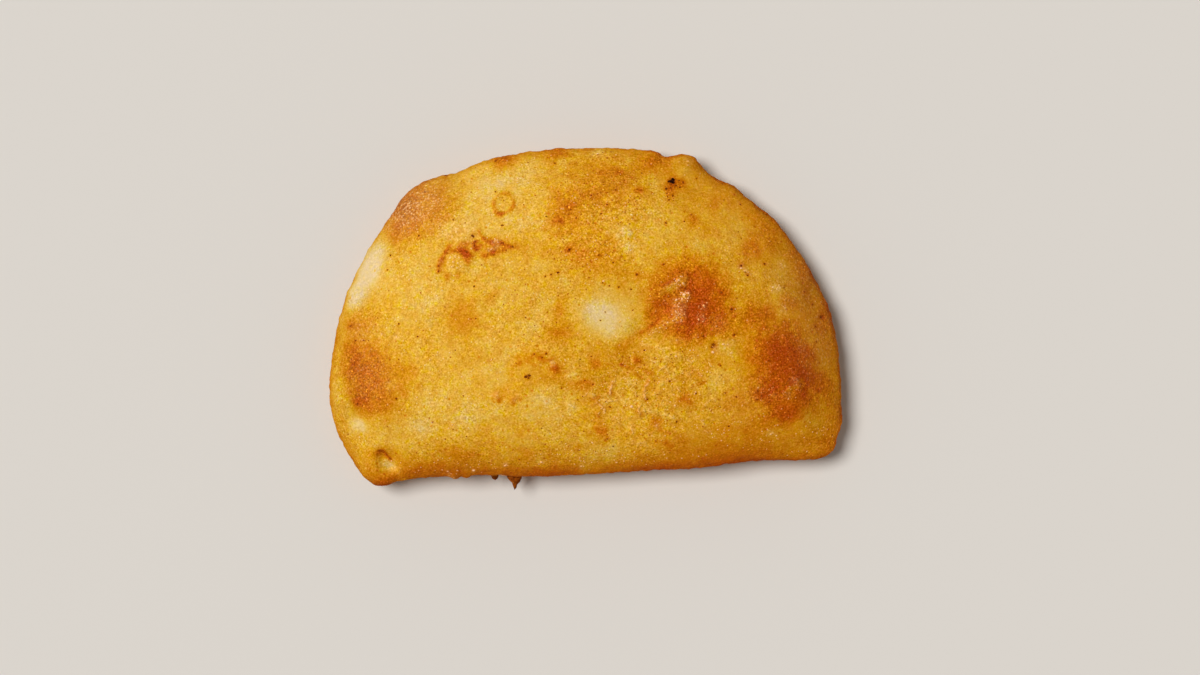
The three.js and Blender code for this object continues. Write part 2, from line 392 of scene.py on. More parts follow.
BROWN = [  # u, v, rx, ry, turn, power, wander, how much
    # the shoulder at the upper left
    (412, 212, 36, 22, -42, 2.4, 1.0, 0.50), (405, 213, 12, 10, 0, 2, 1.2, 0.20), (430, 232, 14, 9, 0, 2, 1.2, 0.20),
    (392, 236, 12, 9, -40, 2, 1.0, 0.14), (440, 196, 20, 13, -15, 2, 1.0, 0.32), (446, 216, 12, 12, 0, 2, 1.4, 0.22),
    # the left cheek
    (366, 375, 22, 35, 3, 3.2, 0.8, 0.74), (352, 364, 8, 15, 0, 2.6, 0.5, 0.42), (360, 388, 9, 18, 0, 2.4, 0.6, 0.20),
    (359, 402, 8, 10, 0, 2.6, 0.4, 0.42), (374, 404, 16, 10, 0, 2.4, 0.8, 0.40),
    (350, 348, 14, 18, 0, 2, 1.0, 0.34), (386, 376, 22, 30, -10, 2.2, 1.2, 0.36),
    (406, 370, 12, 12, 0, 2, 1.2, 0.34), (354, 325, 12, 10, 0, 2, 1.0, 0.52), (392, 398, 16, 10, 0, 2, 1.2, 0.28),
    # mottled stretch above the middle
    (608, 180, 26, 28, 0, 2.2, 1.6, 0.42), (564, 212, 17, 24, 0, 2.4, 1.4, 0.58), (590, 203, 24, 20, 0, 2, 1.6, 0.26),
    (630, 200, 12, 10, 0, 2, 1.6, 0.12), (596, 240, 34, 32, 0, 2, 1.6, 0.14), (583, 256, 24, 18, 0, 2, 1.6, 0.34),
    (570, 251, 5, 5, 0, 2, 0.5, 0.32), (652, 161, 18, 10, 10, 2.2, 0.9, 0.62), (640, 190, 7, 3.5, 0, 2, 0.6, 0.25),
    (678, 187, 13, 9, 0, 2, 0.8, 0.46), (558, 152, 14, 8, 0, 2, 0.7, 0.72), (504, 162, 10, 5, -15, 2, 0.6, 0.90),
    (585, 150, 8, 4, 0, 2, 0.6, 0.30), (693, 217, 8, 7, 0, 2, 0.8, 0.40), (713, 204, 7, 7, 0, 2, 0.8, 0.30),
    (612, 268, 16, 9, 0, 2, 1.2, 0.18),
    # the right shoulder
    (764, 238, 17, 27, -28, 2.4, 1.0, 0.38), (748, 248, 9, 10, 0, 2, 1.0, 0.44), (804, 276, 11, 16, -20, 2, 0.8, 0.34),
    (757, 316, 24, 13, 8, 2.4, 1.0, 0.66), (824, 318, 12, 16, 0, 2, 0.6, 0.32), (826, 385, 12, 22, 0, 2, 0.8, 0.22),
    (802, 304, 14, 14, 0, 2, 0.8, 0.28), (715, 230, 10, 8, 0, 2, 1.0, 0.16),
    # the brown ring right of the middle
    (687, 299, 42, 42, 0, 3.4, 0.8, 0.50), (706, 303, 22, 33, 8, 3.2, 0.7, 1.06), (690, 328, 25, 11, 0, 2.6, 0.7, 0.60),
    (661, 308, 13, 13, 0, 2.4, 0.7, 0.72), (662, 284, 13, 14, 0, 2.2, 0.9, 0.46), (682, 272, 20, 11, 0, 2.2, 0.8, 0.50),
    (712, 278, 10, 12, 0, 2.2, 0.8, 0.26), (696, 300, 8, 26, -3, 2.4, 0.9, 0.44), (722, 322, 11, 13, 0, 2, 0.8, 0.40),
    (650, 318, 8, 7, 0, 2, 0.6, 0.44), (682, 344, 14, 7, 0, 2, 0.9, 0.28),
    # the brown patch at the right
    (780, 358, 28, 31, 8, 3.6, 0.7, 1.26), (787, 403, 26, 22, 0, 3.4, 0.7, 1.12), (815, 383, 12, 11, -12, 2.4, 0.6, 0.74),
    (782, 348, 15, 15, 0, 2.2, 0.8, 0.46), (801, 376, 12, 14, 0, 2, 0.6, 0.66), (759, 390, 13, 12, 0, 2.4, 0.8, 0.52),
    (752, 358, 12, 22, 0, 2, 1.0, 0.20), (782, 420, 18, 9, 0, 2, 0.6, 0.46), (758, 430, 16, 9, 0, 2, 1.0, 0.34),
    (758, 338, 14, 12, 0, 2, 0.9, 0.30),
    # small spots
    (463, 318, 16, 17, 0, 2.2, 1.2, 0.56), (558, 333, 9, 8, 0, 2, 0.8, 0.58), (560, 309, 5, 9, 0, 2, 0.8, 0.38),
    (537, 362, 24, 9, -8, 2, 1.4, 0.28), (595, 365, 8, 7, 0, 2, 0.8, 0.34), (622, 350, 9, 7, 0, 2, 0.8, 0.42),
    (580, 385, 12, 8, 0, 2, 1.0, 0.34), (600, 428, 12, 14, 0, 2, 1.0, 0.34), (655, 422, 7, 6, 0, 2, 0.7, 0.56),
    (685, 400, 8, 7, 0, 2, 0.8, 0.42), (735, 398, 16, 12, 0, 2, 1.0, 0.36), (630, 367, 24, 9, 10, 2, 1.4, 0.24),
    (555, 380, 14, 10, 0, 2, 1.4, 0.24), (490, 295, 5, 4, 0, 2, 0.6, 0.28), (505, 393, 14, 9, 0, 2, 0.8, 0.24),
    (457, 453, 18, 9, 0, 2, 0.9, 0.44), (520, 430, 10, 12, 0, 2, 1.2, 0.12), (578, 446, 4, 4, 0, 2, 0.4, 0.26),
    # next line: the spot at 381, 452 darkens the corner pit's hollow, a painted shade
    (381, 452, 14, 7, 10, 2, 0.6, 0.52), (383, 480, 14, 8, 0, 2, 0.6, 0.55), (672, 445, 14, 8, 0, 2, 0.8, 0.36),
    (640, 395, 40, 32, 0, 2, 1.8, 0.09), (690, 450, 60, 20, 0, 2, 1.2, 0.18), (800, 440, 34, 20, 0, 2, 1.2, 0.16),
    (535, 452, 30, 9, 0, 2, 1.2, 0.24), (420, 468, 40, 9, -4, 2.4, 0.6, 0.34), (545, 470, 40, 7, -3, 2.4, 0.6, 0.28),
    (380, 484, 10, 6, 0, 2, 0.4, 0.5), (652, 468, 20, 5, -4, 2, 0.4, 0.3), (555, 368, 8, 8, 0, 2, 0.6, 0.26), (366, 316, 18, 12, 0, 2, 1.0, 0.26),
    (553, 440, 22, 15, 0, 2, 1.0, 0.18), (580, 449, 10, 7, 0, 2, 0.8, 0.14), (452, 448, 12, 6, 0, 2, 0.6, 0.18),
    (365, 458, 9, 8, 0, 2, 0.5, 0.20), (749, 250, 8, 12, 0, 2, 0.6, 0.20), (738, 326, 13, 10, 0, 2, 0.8, 0.20),
    (505, 169, 12, 8, 0, 2, 0.8, 0.14), (655, 172, 14, 9, 0, 2, 0.8, 0.16), (538, 157, 15, 6, 0, 2, 0.5, 0.20),
    (697, 168, 6, 8, 0, 2, 0.4, 0.22), (462, 329, 14, 8, 0, 2, 0.8, 0.18), (541, 378, 17, 9, -10, 2, 1.0, 0.18),
    (650, 383, 12, 7, 0, 2, 0.8, 0.14), (472, 385, 14, 9, 0, 2, 0.8, 0.12), (826, 420, 8, 16, 0, 2, 0.4, 0.14),
    (553, 328, 12, 9, 0, 2, 0.8, 0.12), (688, 345, 11, 6, 0, 2, 0.6, 0.20), (590, 366, 8, 6, 0, 2, 0.6, 0.14),
    (680, 433, 12, 8, 0, 2, 0.8, 0.14), (795, 254, 8, 10, -30, 2, 0.6, 0.16), (787, 298, 9, 6, 0, 2, 0.6, 0.14),
    (475, 248, 34, 8, 0, 2.4, 0.6, 0.18), (443, 258, 5, 11, 15, 2.4, 0.4, 0.12), (466, 253, 8, 7, 0, 2, 0.4, 0.16),
    (443, 273, 7, 6, 0, 2, 0.4, 0.14), (646, 273, 8, 6, 0, 2, 0.8, 0.20), (685, 258, 17, 6, 0, 2, 0.8, 0.13),
    (706, 255, 10, 6, 0, 2, 0.8, 0.12), (764, 396, 9, 14, 0, 2, 0.6, 0.30), (757, 308, 12, 6, 0, 2, 0.6, 0.18),
    (778, 420, 8, 7, 0, 2, 0.5, 0.14), (790, 365, 14, 9, 0, 2, 0.8, 0.14), (804, 384, 8, 10, 0, 2, 0.5, 0.22),
    (346, 362, 6, 12, 0, 2, 0.4, 0.18), (355, 402, 9, 9, 0, 2, 0.4, 0.26), (381, 411, 9, 6, 0, 2, 0.6, 0.18),
    (365, 345, 8, 6, 0, 2, 0.6, 0.12), (415, 198, 12, 8, 0, 2, 0.8, 0.18), (503, 205, 14, 16, 0, 2, 0.8, 0.10),
    (598, 168, 22, 9, 0, 2, 0.8, 0.10), (583, 275, 10, 6, 0, 2, 0.8, 0.14), (549, 239, 9, 7, 0, 2, 0.8, 0.18),
    (556, 185, 8, 5, 0, 2, 0.8, 0.12), (540, 212, 8, 6, 0, 2, 0.8, 0.10), (697, 160, 6, 8, 0, 2, 0.4, 0.16),
    (738, 194, 8, 8, 40, 2, 0.4, 0.16), (770, 256, 6, 8, 0, 2, 0.6, 0.16), (745, 238, 5, 13, 0, 2, 0.6, 0.12),
    (417, 292, 8, 12, 0, 2, 0.8, 0.12), (366, 308, 8, 7, 0, 2, 0.5, 0.16), (495, 315, 8, 8, 0, 2, 0.6, 0.16),
    (553, 321, 8, 6, 0, 2, 0.6, 0.14), (583, 339, 9, 10, 0, 2, 0.8, 0.12), (616, 382, 9, 7, 0, 2, 0.6, 0.20),
    (700, 360, 22, 9, 0, 2, 1.0, 0.10), (718, 388, 7, 9, 0, 2, 0.6, 0.16), (522, 358, 6, 6, 0, 2, 0.5, 0.18),
    (537, 386, 12, 8, 0, 2, 0.8, 0.10), (552, 370, 9, 6, 0, 2, 0.6, 0.12), (600, 405, 12, 7, 0, 2, 0.8, 0.14),
    (583, 420, 6, 10, 0, 2, 0.6, 0.12), (648, 423, 7, 5, 0, 2, 0.5, 0.16), (394, 461, 9, 5, 0, 2, 0.4, 0.14),
    (477, 438, 9, 5, 0, 2, 0.8, 0.12), (710, 442, 16, 6, 0, 2, 0.8, 0.13), (640, 456, 6, 8, 0, 2, 0.6, 0.14),
    # next line: the spot at 379, 456 also darkens the corner pit's hollow, a painted shade
    (664, 336, 12, 5, -20, 2, 0.6, 0.16), (379, 456, 6, 5, 0, 2.4, 0.3, 0.26),
    (404, 208, 10, 14, -40, 2, 0.6, 0.20), (392, 226, 9, 12, -40, 2, 0.6, 0.12), (650, 331, 10, 5, -35, 2, 0.4, 0.22), (684, 289, 7, 3.5, 0, 2, 0.3, 0.30),
    (352, 372, 8, 16, 10, 2, 0.5, 0.20), (352, 400, 12, 12, 0, 2, 0.6, 0.16), (816, 390, 6, 6, 0, 2, 0.4, 0.26), (800, 312, 16, 22, 0, 2, 0.8, 0.12),
    (812, 348, 18, 9, 0, 2, 0.6, 0.18), (835, 410, 6, 14, 0, 2, 0.3, 0.22), (773, 306, 18, 7, 0, 2, 0.8, 0.10), (764, 388, 8, 10, 0, 2, 0.6, 0.12),
    (679, 313, 9, 9, 0, 2.4, 0.4, 0.14), (663, 309, 10, 8, 0, 2.2, 0.5, 0.18), (653, 330, 12, 6, -30, 2, 0.4, 0.10), (842, 420, 7, 30, 0, 2, 0.3, 0.20),
    (822, 440, 14, 14, 0, 2, 0.5, 0.12), (806, 358, 9, 10, 0, 2, 0.5, 0.14), (362, 384, 7, 14, 0, 2, 0.5, 0.06),
    (752, 428, 9, 8, 0, 2, 0.6, 0.12), (777, 428, 8, 6, 0, 2, 0.6, 0.14), (525, 458, 34, 8, 0, 2, 0.6, 0.11), (560, 456, 12, 8, 0, 2, 0.6, 0.10),
    (447, 449, 12, 5, 0, 2, 0.6, 0.12), (480, 449, 10, 9, 0, 2, 0.6, 0.12), (400, 463, 9, 6, 0, 2, 0.4, 0.16), (627, 449, 10, 9, 0, 2, 0.6, 0.12),
    (533, 156, 24, 6, 0, 2, 0.4, 0.14), (574, 175, 10, 8, 0, 2, 0.6, 0.12), (700, 162, 8, 8, 0, 2, 0.4, 0.16), (410, 204, 17, 14, -40, 2, 0.7, 0.26), (400, 229, 10, 10, 0, 2, 0.6, 0.10), (684, 314, 9, 5, 0, 2, 0.3, 0.20),
    (648, 331, 11, 5, -30, 2, 0.3, 0.14), (790, 352, 26, 9, 0, 2, 0.8, 0.10), (822, 362, 10, 22, 0, 2, 0.5, 0.14), (716, 352, 15, 6, 0, 2, 0.6, 0.10),
    (700, 372, 10, 9, 0, 2, 0.6, 0.12), (428, 468, 30, 6, -4, 2, 0.4, 0.14), (478, 392, 9, 9, 0, 2, 0.6, 0.10), (527, 408, 9, 7, 0, 2, 0.6, 0.10),
    (728, 328, 9, 10, 0, 2, 0.6, 0.12), (838, 450, 9, 9, 0, 2, 0.3, 0.12), (630, 168, 14, 7, 20, 2, 0.6, 0.10), (775, 372, 9, 10, 0, 2, 0.6, 0.12),
    (742, 448, 22, 6, -4, 2, 0.4, 0.08),
    (597, 230, 12, 6, 0, 2, 0.6, 0.16), (565, 224, 8, 4, 0, 2, 0.6, 0.12), (748, 256, 10, 10, 0, 2, 0.8, 0.12), (715, 225, 9, 8, 0, 2, 0.6, 0.12),
    (730, 208, 10, 9, 0, 2, 0.6, 0.09), (722, 318, 5, 12, 0, 2, 0.5, 0.16), (664, 288, 10, 4, -30, 2, 0.4, 0.16), (692, 310, 12, 5, 0, 2, 0.4, 0.12),
    (805, 266, 7, 7, 0, 2, 0.4, 0.16), (828, 306, 5, 9, 0, 2, 0.3, 0.16), (650, 388, 16, 8, 0, 2, 0.8, 0.10), (655, 368, 12, 8, 0, 2, 0.8, 0.10),
    (596, 367, 8, 8, 0, 2, 0.6, 0.12), (558, 368, 9, 6, 0, 2, 0.5, 0.12), (450, 325, 9, 7, 0, 2, 0.6, 0.12), (552, 345, 10, 10, 0, 2, 0.6, 0.10),
    (686, 260, 9, 6, 0, 2, 0.6, 0.12), (646, 272, 8, 6, 0, 2, 0.6, 0.12), (840, 448, 8, 8, 0, 2, 0.3, 0.20), (620, 346, 16, 7, -20, 2, 0.8, 0.14),
    (507, 248, 16, 8, 0, 2, 1.0, 0.20), (735, 432, 20, 10, 0, 2, 1.0, 0.24), (400, 388, 14, 14, 0, 2, 1.2, 0.18), (600, 355, 12, 8, 0, 2, 1.4, 0.16), (668, 368, 9, 6, 0, 2, 1.0, 0.24),
]
for u, v, rx, ry, turn, power, wander, much in BROWN:
    toast = toast + much * blob(u, v, rx, ry, turn, power, wander, 0.34) * (1 + 0.30 * rag)

PALE = [
    # the long pale strip where the dough never touched the fat
    (368, 268, 12, 27, 24, 3.0, 0.35, 0.74), (355, 298, 10, 14, 24, 2.6, 0.3, 0.58), (385, 246, 9, 8, 0, 2, 0.5, 0.22),
    # the pale hollow in the middle
    (602, 317, 23, 16, 34, 3.0, 0.4, 0.40), (616, 314, 34, 26, 0, 2.6, 0.6, 0.20), (597, 309, 14, 8, 10, 2.4, 0.4, 0.13),
    # smaller pale spots
    # next line: the spot at 390, 466 is the corner pit's lit lower side, a painted light
    (357, 427, 9, 10, 0, 2.4, 0.5, 0.42), (390, 466, 11, 6, 20, 2.6, 0.3, 0.66), (625, 234, 10, 8, 0, 2.4, 0.6, 0.42),
    (628, 248, 9, 6, 0, 2, 0.6, 0.30), (484, 184, 14, 14, 0, 2, 1.0, 0.22), (527, 176, 16, 14, 0, 2, 1.0, 0.24),
    (505, 184, 12, 6, 0, 2, 1.0, 0.14), (645, 235, 5, 4, 0, 2, 0.4, 0.22), (402, 272, 20, 12, 0, 2, 1.2, 0.30),
    (455, 268, 12, 8, 0, 2, 0.8, 0.14), (525, 220, 14, 18, 0, 2, 1.2, 0.22), (480, 212, 13, 12, 0, 2, 1.0, 0.26),
    (597, 154, 8, 6, 0, 2.4, 0.5, 0.32), (775, 289, 8, 5, 0, 2, 0.6, 0.18), (782, 309, 8, 8, 0, 2, 0.6, 0.24),
    (772, 265, 10, 12, 0, 2, 0.8, 0.10), (470, 400, 70, 26, 0, 2, 1.6, 0.12), (412, 428, 16, 10, 0, 2, 1.2, 0.20),
    (545, 398, 12, 8, 0, 2, 1.0, 0.14), (573, 410, 8, 6, 0, 2, 0.8, 0.14), (508, 360, 8, 18, 0, 2, 1.0, 0.12),
    (450, 354, 14, 10, 0, 2, 1.0, 0.20), (408, 308, 24, 18, 0, 2, 1.4, 0.24), (485, 268, 12, 9, 0, 2, 1.0, 0.20),
    (592, 466, 20, 7, 0, 2, 0.6, 0.24), (634, 462, 16, 8, 0, 2, 0.6, 0.13), (585, 469, 14, 5, 0, 2, 0.5, 0.16),
    (705, 326, 12, 9, 0, 2, 0.6, 0.18), (674, 268, 16, 6, 0, 2, 0.8, 0.10), (715, 283, 8, 12, 0, 2, 0.6, 0.15),
    (737, 309, 8, 8, 0, 2, 0.6, 0.18), (648, 317, 5, 5, 0, 2, 0.5, 0.12), (777, 326, 12, 6, 0, 2, 0.6, 0.16),
    (758, 341, 8, 7, 0, 2, 0.6, 0.14), (803, 410, 10, 6, 0, 2, 0.5, 0.16), (377, 367, 10, 9, 0, 2, 0.8, 0.18),
    (394, 386, 9, 6, 0, 2, 0.8, 0.12), (390, 230, 7, 14, 20, 2, 0.6, 0.14), (420, 233, 7, 7, 0, 2, 0.6, 0.12),
    (446, 251, 6, 6, 0, 2, 0.5, 0.12), (487, 259, 9, 6, 0, 2, 0.5, 0.18), (476, 179, 10, 7, 0, 2, 0.6, 0.14),
    (518, 198, 7, 12, 0, 2, 0.6, 0.14), (636, 163, 9, 8, 0, 2, 0.6, 0.22), (616, 205, 12, 22, 0, 2, 0.8, 0.13),
    (612, 230, 12, 8, 0, 2, 0.8, 0.12), (590, 244, 9, 8, 0, 2, 0.6, 0.12), (569, 264, 9, 6, 0, 2, 0.6, 0.16),
    (549, 222, 6, 6, 0, 2, 0.6, 0.14), (690, 187, 9, 8, 0, 2, 0.6, 0.14), (758, 232, 14, 8, 0, 2, 0.6, 0.16),
    (780, 244, 8, 9, 0, 2, 0.6, 0.12), (437, 316, 12, 12, 0, 2, 0.8, 0.11), (665, 373, 7, 8, 0, 2, 0.6, 0.14),
    (687, 405, 14, 14, 0, 2, 0.8, 0.10), (500, 375, 12, 14, 0, 2, 0.8, 0.09), (562, 407, 7, 9, 0, 2, 0.6, 0.12),
    (518, 444, 13, 6, 0, 2, 0.6, 0.18), (444, 459, 14, 7, 0, 2, 0.6, 0.20), (690, 454, 10, 6, 0, 2, 0.6, 0.13),
    (800, 456, 22, 5, 0, 2, 0.4, 0.13), (762, 457, 7, 5, 0, 2, 0.4, 0.13), (606, 452, 9, 9, 0, 2, 0.6, 0.11),
    (620, 461, 12, 6, 0, 2, 0.6, 0.13), (380, 475, 9, 6, 0, 2, 0.4, 0.15), (838, 432, 6, 12, 0, 2, 0.3, 0.15),
    (803, 453, 22, 8, 0, 2, 0.6, 0.20), (656, 449, 9, 8, 0, 2, 0.6, 0.16), (713, 326, 9, 8, 0, 2, 0.6, 0.26),
    (641, 305, 6, 16, 0, 2, 0.5, 0.12), (613, 230, 12, 10, 0, 2, 0.8, 0.16), (566, 240, 7, 8, 0, 2, 0.6, 0.12),
    (434, 198, 10, 12, 0, 2, 0.8, 0.14), (402, 252, 10, 10, 0, 2, 0.8, 0.20), (467, 226, 14, 8, 0, 2, 0.8, 0.14),
    (778, 241, 10, 8, 0, 2, 0.6, 0.13), (692, 394, 12, 10, 0, 2, 0.8, 0.13), (748, 351, 8, 10, 0, 2, 0.6, 0.15),
    (572, 296, 9, 10, 0, 2, 0.8, 0.11), (528, 281, 10, 12, 0, 2, 0.8, 0.09), (763, 411, 9, 8, 0, 2, 0.6, 0.20),
    (350, 390, 5, 8, 0, 2, 0.3, 0.18), (602, 247, 14, 6, 0, 2, 0.8, 0.10), (745, 384, 9, 9, 0, 2, 0.6, 0.12),
    (705, 345, 20, 9, 0, 2, 0.9, 0.30), (735, 350, 12, 10, 0, 2, 1.0, 0.22), (725, 272, 11, 12, 0, 2, 0.7, 0.26),
    (690, 362, 22, 14, 0, 2, 1.2, 0.12), (665, 395, 12, 14, 0, 2, 1.4, 0.20), (712, 385, 10, 14, 0, 2, 1.0, 0.14),
    (771, 434, 6, 6, 0, 2, 0.6, 0.10), (600, 455, 30, 9, 0, 2, 0.8, 0.34), (500, 430, 14, 14, 0, 2, 1.2, 0.18),
    (628, 420, 9, 10, 0, 2, 1.2, 0.18), (527, 334, 14, 10, 0, 2, 1.2, 0.14), (800, 418, 9, 10, 0, 2, 0.6, 0.44),
    (336, 386, 6, 16, 0, 2, 0.4, 0.16), (696, 276, 10, 7, 0, 2, 0.5, 0.20), (690, 300, 6, 5, 0, 2, 0.3, 0.34), (706, 326, 13, 7, 0, 2, 0.5, 0.24),
    (664, 277, 8, 6, 0, 2, 0.5, 0.14), (566, 240, 6, 6, 0, 2, 0.5, 0.16), (570, 310, 9, 9, 0, 2, 0.6, 0.15), (560, 285, 12, 12, 0, 2, 0.8, 0.10),
    (600, 290, 9, 7, 0, 2, 0.8, 0.10), (445, 252, 9, 10, 0, 2, 0.5, 0.12), (478, 246, 10, 8, 0, 2, 0.5, 0.13), (370, 288, 10, 10, 0, 2, 0.5, 0.12),
    (380, 335, 9, 8, 0, 2, 0.6, 0.13), (430, 328, 9, 9, 0, 2, 0.6, 0.11), (452, 348, 9, 7, 0, 2, 0.6, 0.14), (470, 362, 10, 8, 0, 2, 0.6, 0.12),
    (505, 355, 8, 9, 0, 2, 0.6, 0.12), (546, 358, 7, 5, 0, 2, 0.4, 0.12), (630, 368, 8, 6, 0, 2, 0.5, 0.14), (545, 348, 6, 12, 0, 2, 0.5, 0.10),
    (452, 398, 7, 12, 0, 2, 0.6, 0.13), (395, 386, 9, 6, 0, 2, 0.6, 0.12), (416, 406, 12, 8, 0, 2, 0.8, 0.12), (620, 405, 7, 12, 0, 2, 0.6, 0.12),
    (730, 372, 16, 14, 0, 2, 0.8, 0.11), (664, 428, 8, 8, 0, 2, 0.6, 0.14), (688, 425, 6, 7, 0, 2, 0.5, 0.12), (690, 466, 18, 5, 0, 2, 0.3, 0.18),
    (640, 470, 30, 5, 0, 2, 0.3, 0.12), (578, 468, 14, 5, 0, 2, 0.3, 0.16), (400, 445, 14, 8, 0, 2, 0.6, 0.11), (384, 475, 10, 8, 0, 2, 0.4, 0.16),
    (734, 305, 5, 9, 0, 2, 0.5, 0.14), (757, 340, 7, 7, 0, 2, 0.5, 0.13), (663, 325, 6, 4, -30, 2, 0.3, 0.20), (780, 272, 12, 16, 0, 2, 0.8, 0.09),
    (540, 300, 22, 16, 0, 2, 1.0, 0.06), (424, 296, 16, 12, 0, 2, 0.8, 0.05), (458, 231, 16, 10, 0, 2, 0.6, 0.10), (600, 360, 14, 10, 0, 2, 0.8, 0.08), (452, 300, 16, 12, 0, 2, 0.8, 0.07), (582, 250, 12, 9, 0, 2, 0.8, 0.08),
    (732, 310, 6, 11, 0, 2.2, 0.4, 0.20), (722, 300, 8, 10, 0, 2, 0.5, 0.10), (565, 242, 7, 9, 0, 2, 0.5, 0.14), (588, 384, 9, 6, 0, 2, 0.6, 0.12),
    (704, 288, 14, 7, 0, 2, 0.6, 0.12), (530, 352, 14, 7, 0, 2, 0.6, 0.12), (600, 212, 7, 6, 0, 2, 0.6, 0.14), (576, 212, 8, 6, 0, 2, 0.6, 0.12),
    (756, 228, 12, 8, 20, 2, 0.6, 0.12), (515, 200, 9, 9, 0, 2, 0.6, 0.11), (652, 194, 7, 8, 0, 2, 0.6, 0.12), (571, 196, 9, 7, 0, 2, 0.6, 0.10),
    (620, 160, 8, 8, 0, 2, 0.5, 0.14), (585, 153, 12, 5, 0, 2, 0.4, 0.12), (637, 250, 7, 12, 0, 2, 0.6, 0.12), (806, 412, 7, 7, 0, 2, 0.5, 0.16),
    (509, 196, 9, 13, 0, 2, 0.5, 0.12), (655, 269, 12, 8, 0, 2, 0.6, 0.13), (690, 298, 8, 5, 0, 2, 0.3, 0.20), (712, 300, 6, 20, 5, 2, 0.5, 0.14),
    (530, 281, 11, 12, 0, 2, 0.8, 0.08), (573, 210, 9, 9, 0, 2, 0.6, 0.10), (476, 259, 12, 5, 0, 2, 0.5, 0.10), (401, 250, 10, 7, 0, 2, 0.6, 0.10),
    (637, 289, 11, 8, 0, 2, 0.8, 0.08), (671, 447, 9, 7, 0, 2, 0.5, 0.10), (522, 445, 9, 5, 0, 2, 0.5, 0.10),
    (628, 160, 8, 8, 0, 2, 0.6, 0.24), (738, 225, 16, 12, 0, 2, 1.0, 0.12),
    # the glossy lump inside the brown ring, paler partly as a painted highlight, and the blister inside the right patch
    (671, 289, 9, 4.5, -32, 2.4, 0.3, 0.50), (681, 281, 5, 6, 0, 2.4, 0.3, 0.26), (687, 297, 5, 6, 20, 2.6, 0.3, 0.34),
    (646, 339, 9, 5, -38, 2.4, 0.3, 0.16),
    (787, 391, 9, 10, 15, 3.0, 0.4, 0.56), (792, 382, 4, 5, 20, 2, 0.3, 0.14), (783, 341, 4, 4, 0, 2, 0.4, 0.30),
]
for u, v, rx, ry, turn, power, wander, much in PALE:
    toast = toast - much * blob(u, v, rx, ry, turn, power, wander, 0.12)

# browned lips, cracks and rims
LINES = [
    # the ring blister above it
    ([(494, 212), (499, 215), (505, 214), (511, 209)], 1.6, 0.50),
    ([(498, 214), (500, 216)], 2.2, 0.40),
    # the crease left of the brown ring
    ([(660, 286), (668, 283), (675, 279)], 1.5, 0.35),
    # the folded blister in the right patch
    ([(779, 392), (786, 386), (794, 377)], 1.5, 0.55),
    ([(804, 372), (806, 384), (803, 396)], 3.0, 0.30),
    ([(500, 157), (492, 160), (486, 163)], 2.0, 0.35),
    ([(670, 156), (668, 160)], 2.4, 0.30),
]
for points, wide, much in LINES:
    toast = toast + much * line(points, wide, 2.4, 0.55) * (1 + 0.5 * rag)
toast = toast + (0.26 + 0.36 * rag) * loop(503, 204, 10, 1.8, 0.3)
for u, v, rr, much in [(555, 367, 4.5, 0.62), (637, 361, 4.5, 0.62), (713, 346, 4.0, 0.55),
                       (497, 397, 4.0, 0.30), (512, 399, 3.5, 0.30), (486, 316, 3.0, 0.2), (741, 266, 2.2, 0.4),
                       (747, 275, 2.0, 0.6), (731, 310, 2.0, 0.5), (823, 317, 2.2, 0.8), (671, 188, 4.0, 0.4),
                       (681, 184, 4.5, 0.5), (668, 195, 4.0, 0.3)]:
    toast = toast + much * blob(u, v, rr, rr, 0, 2, 0.2)
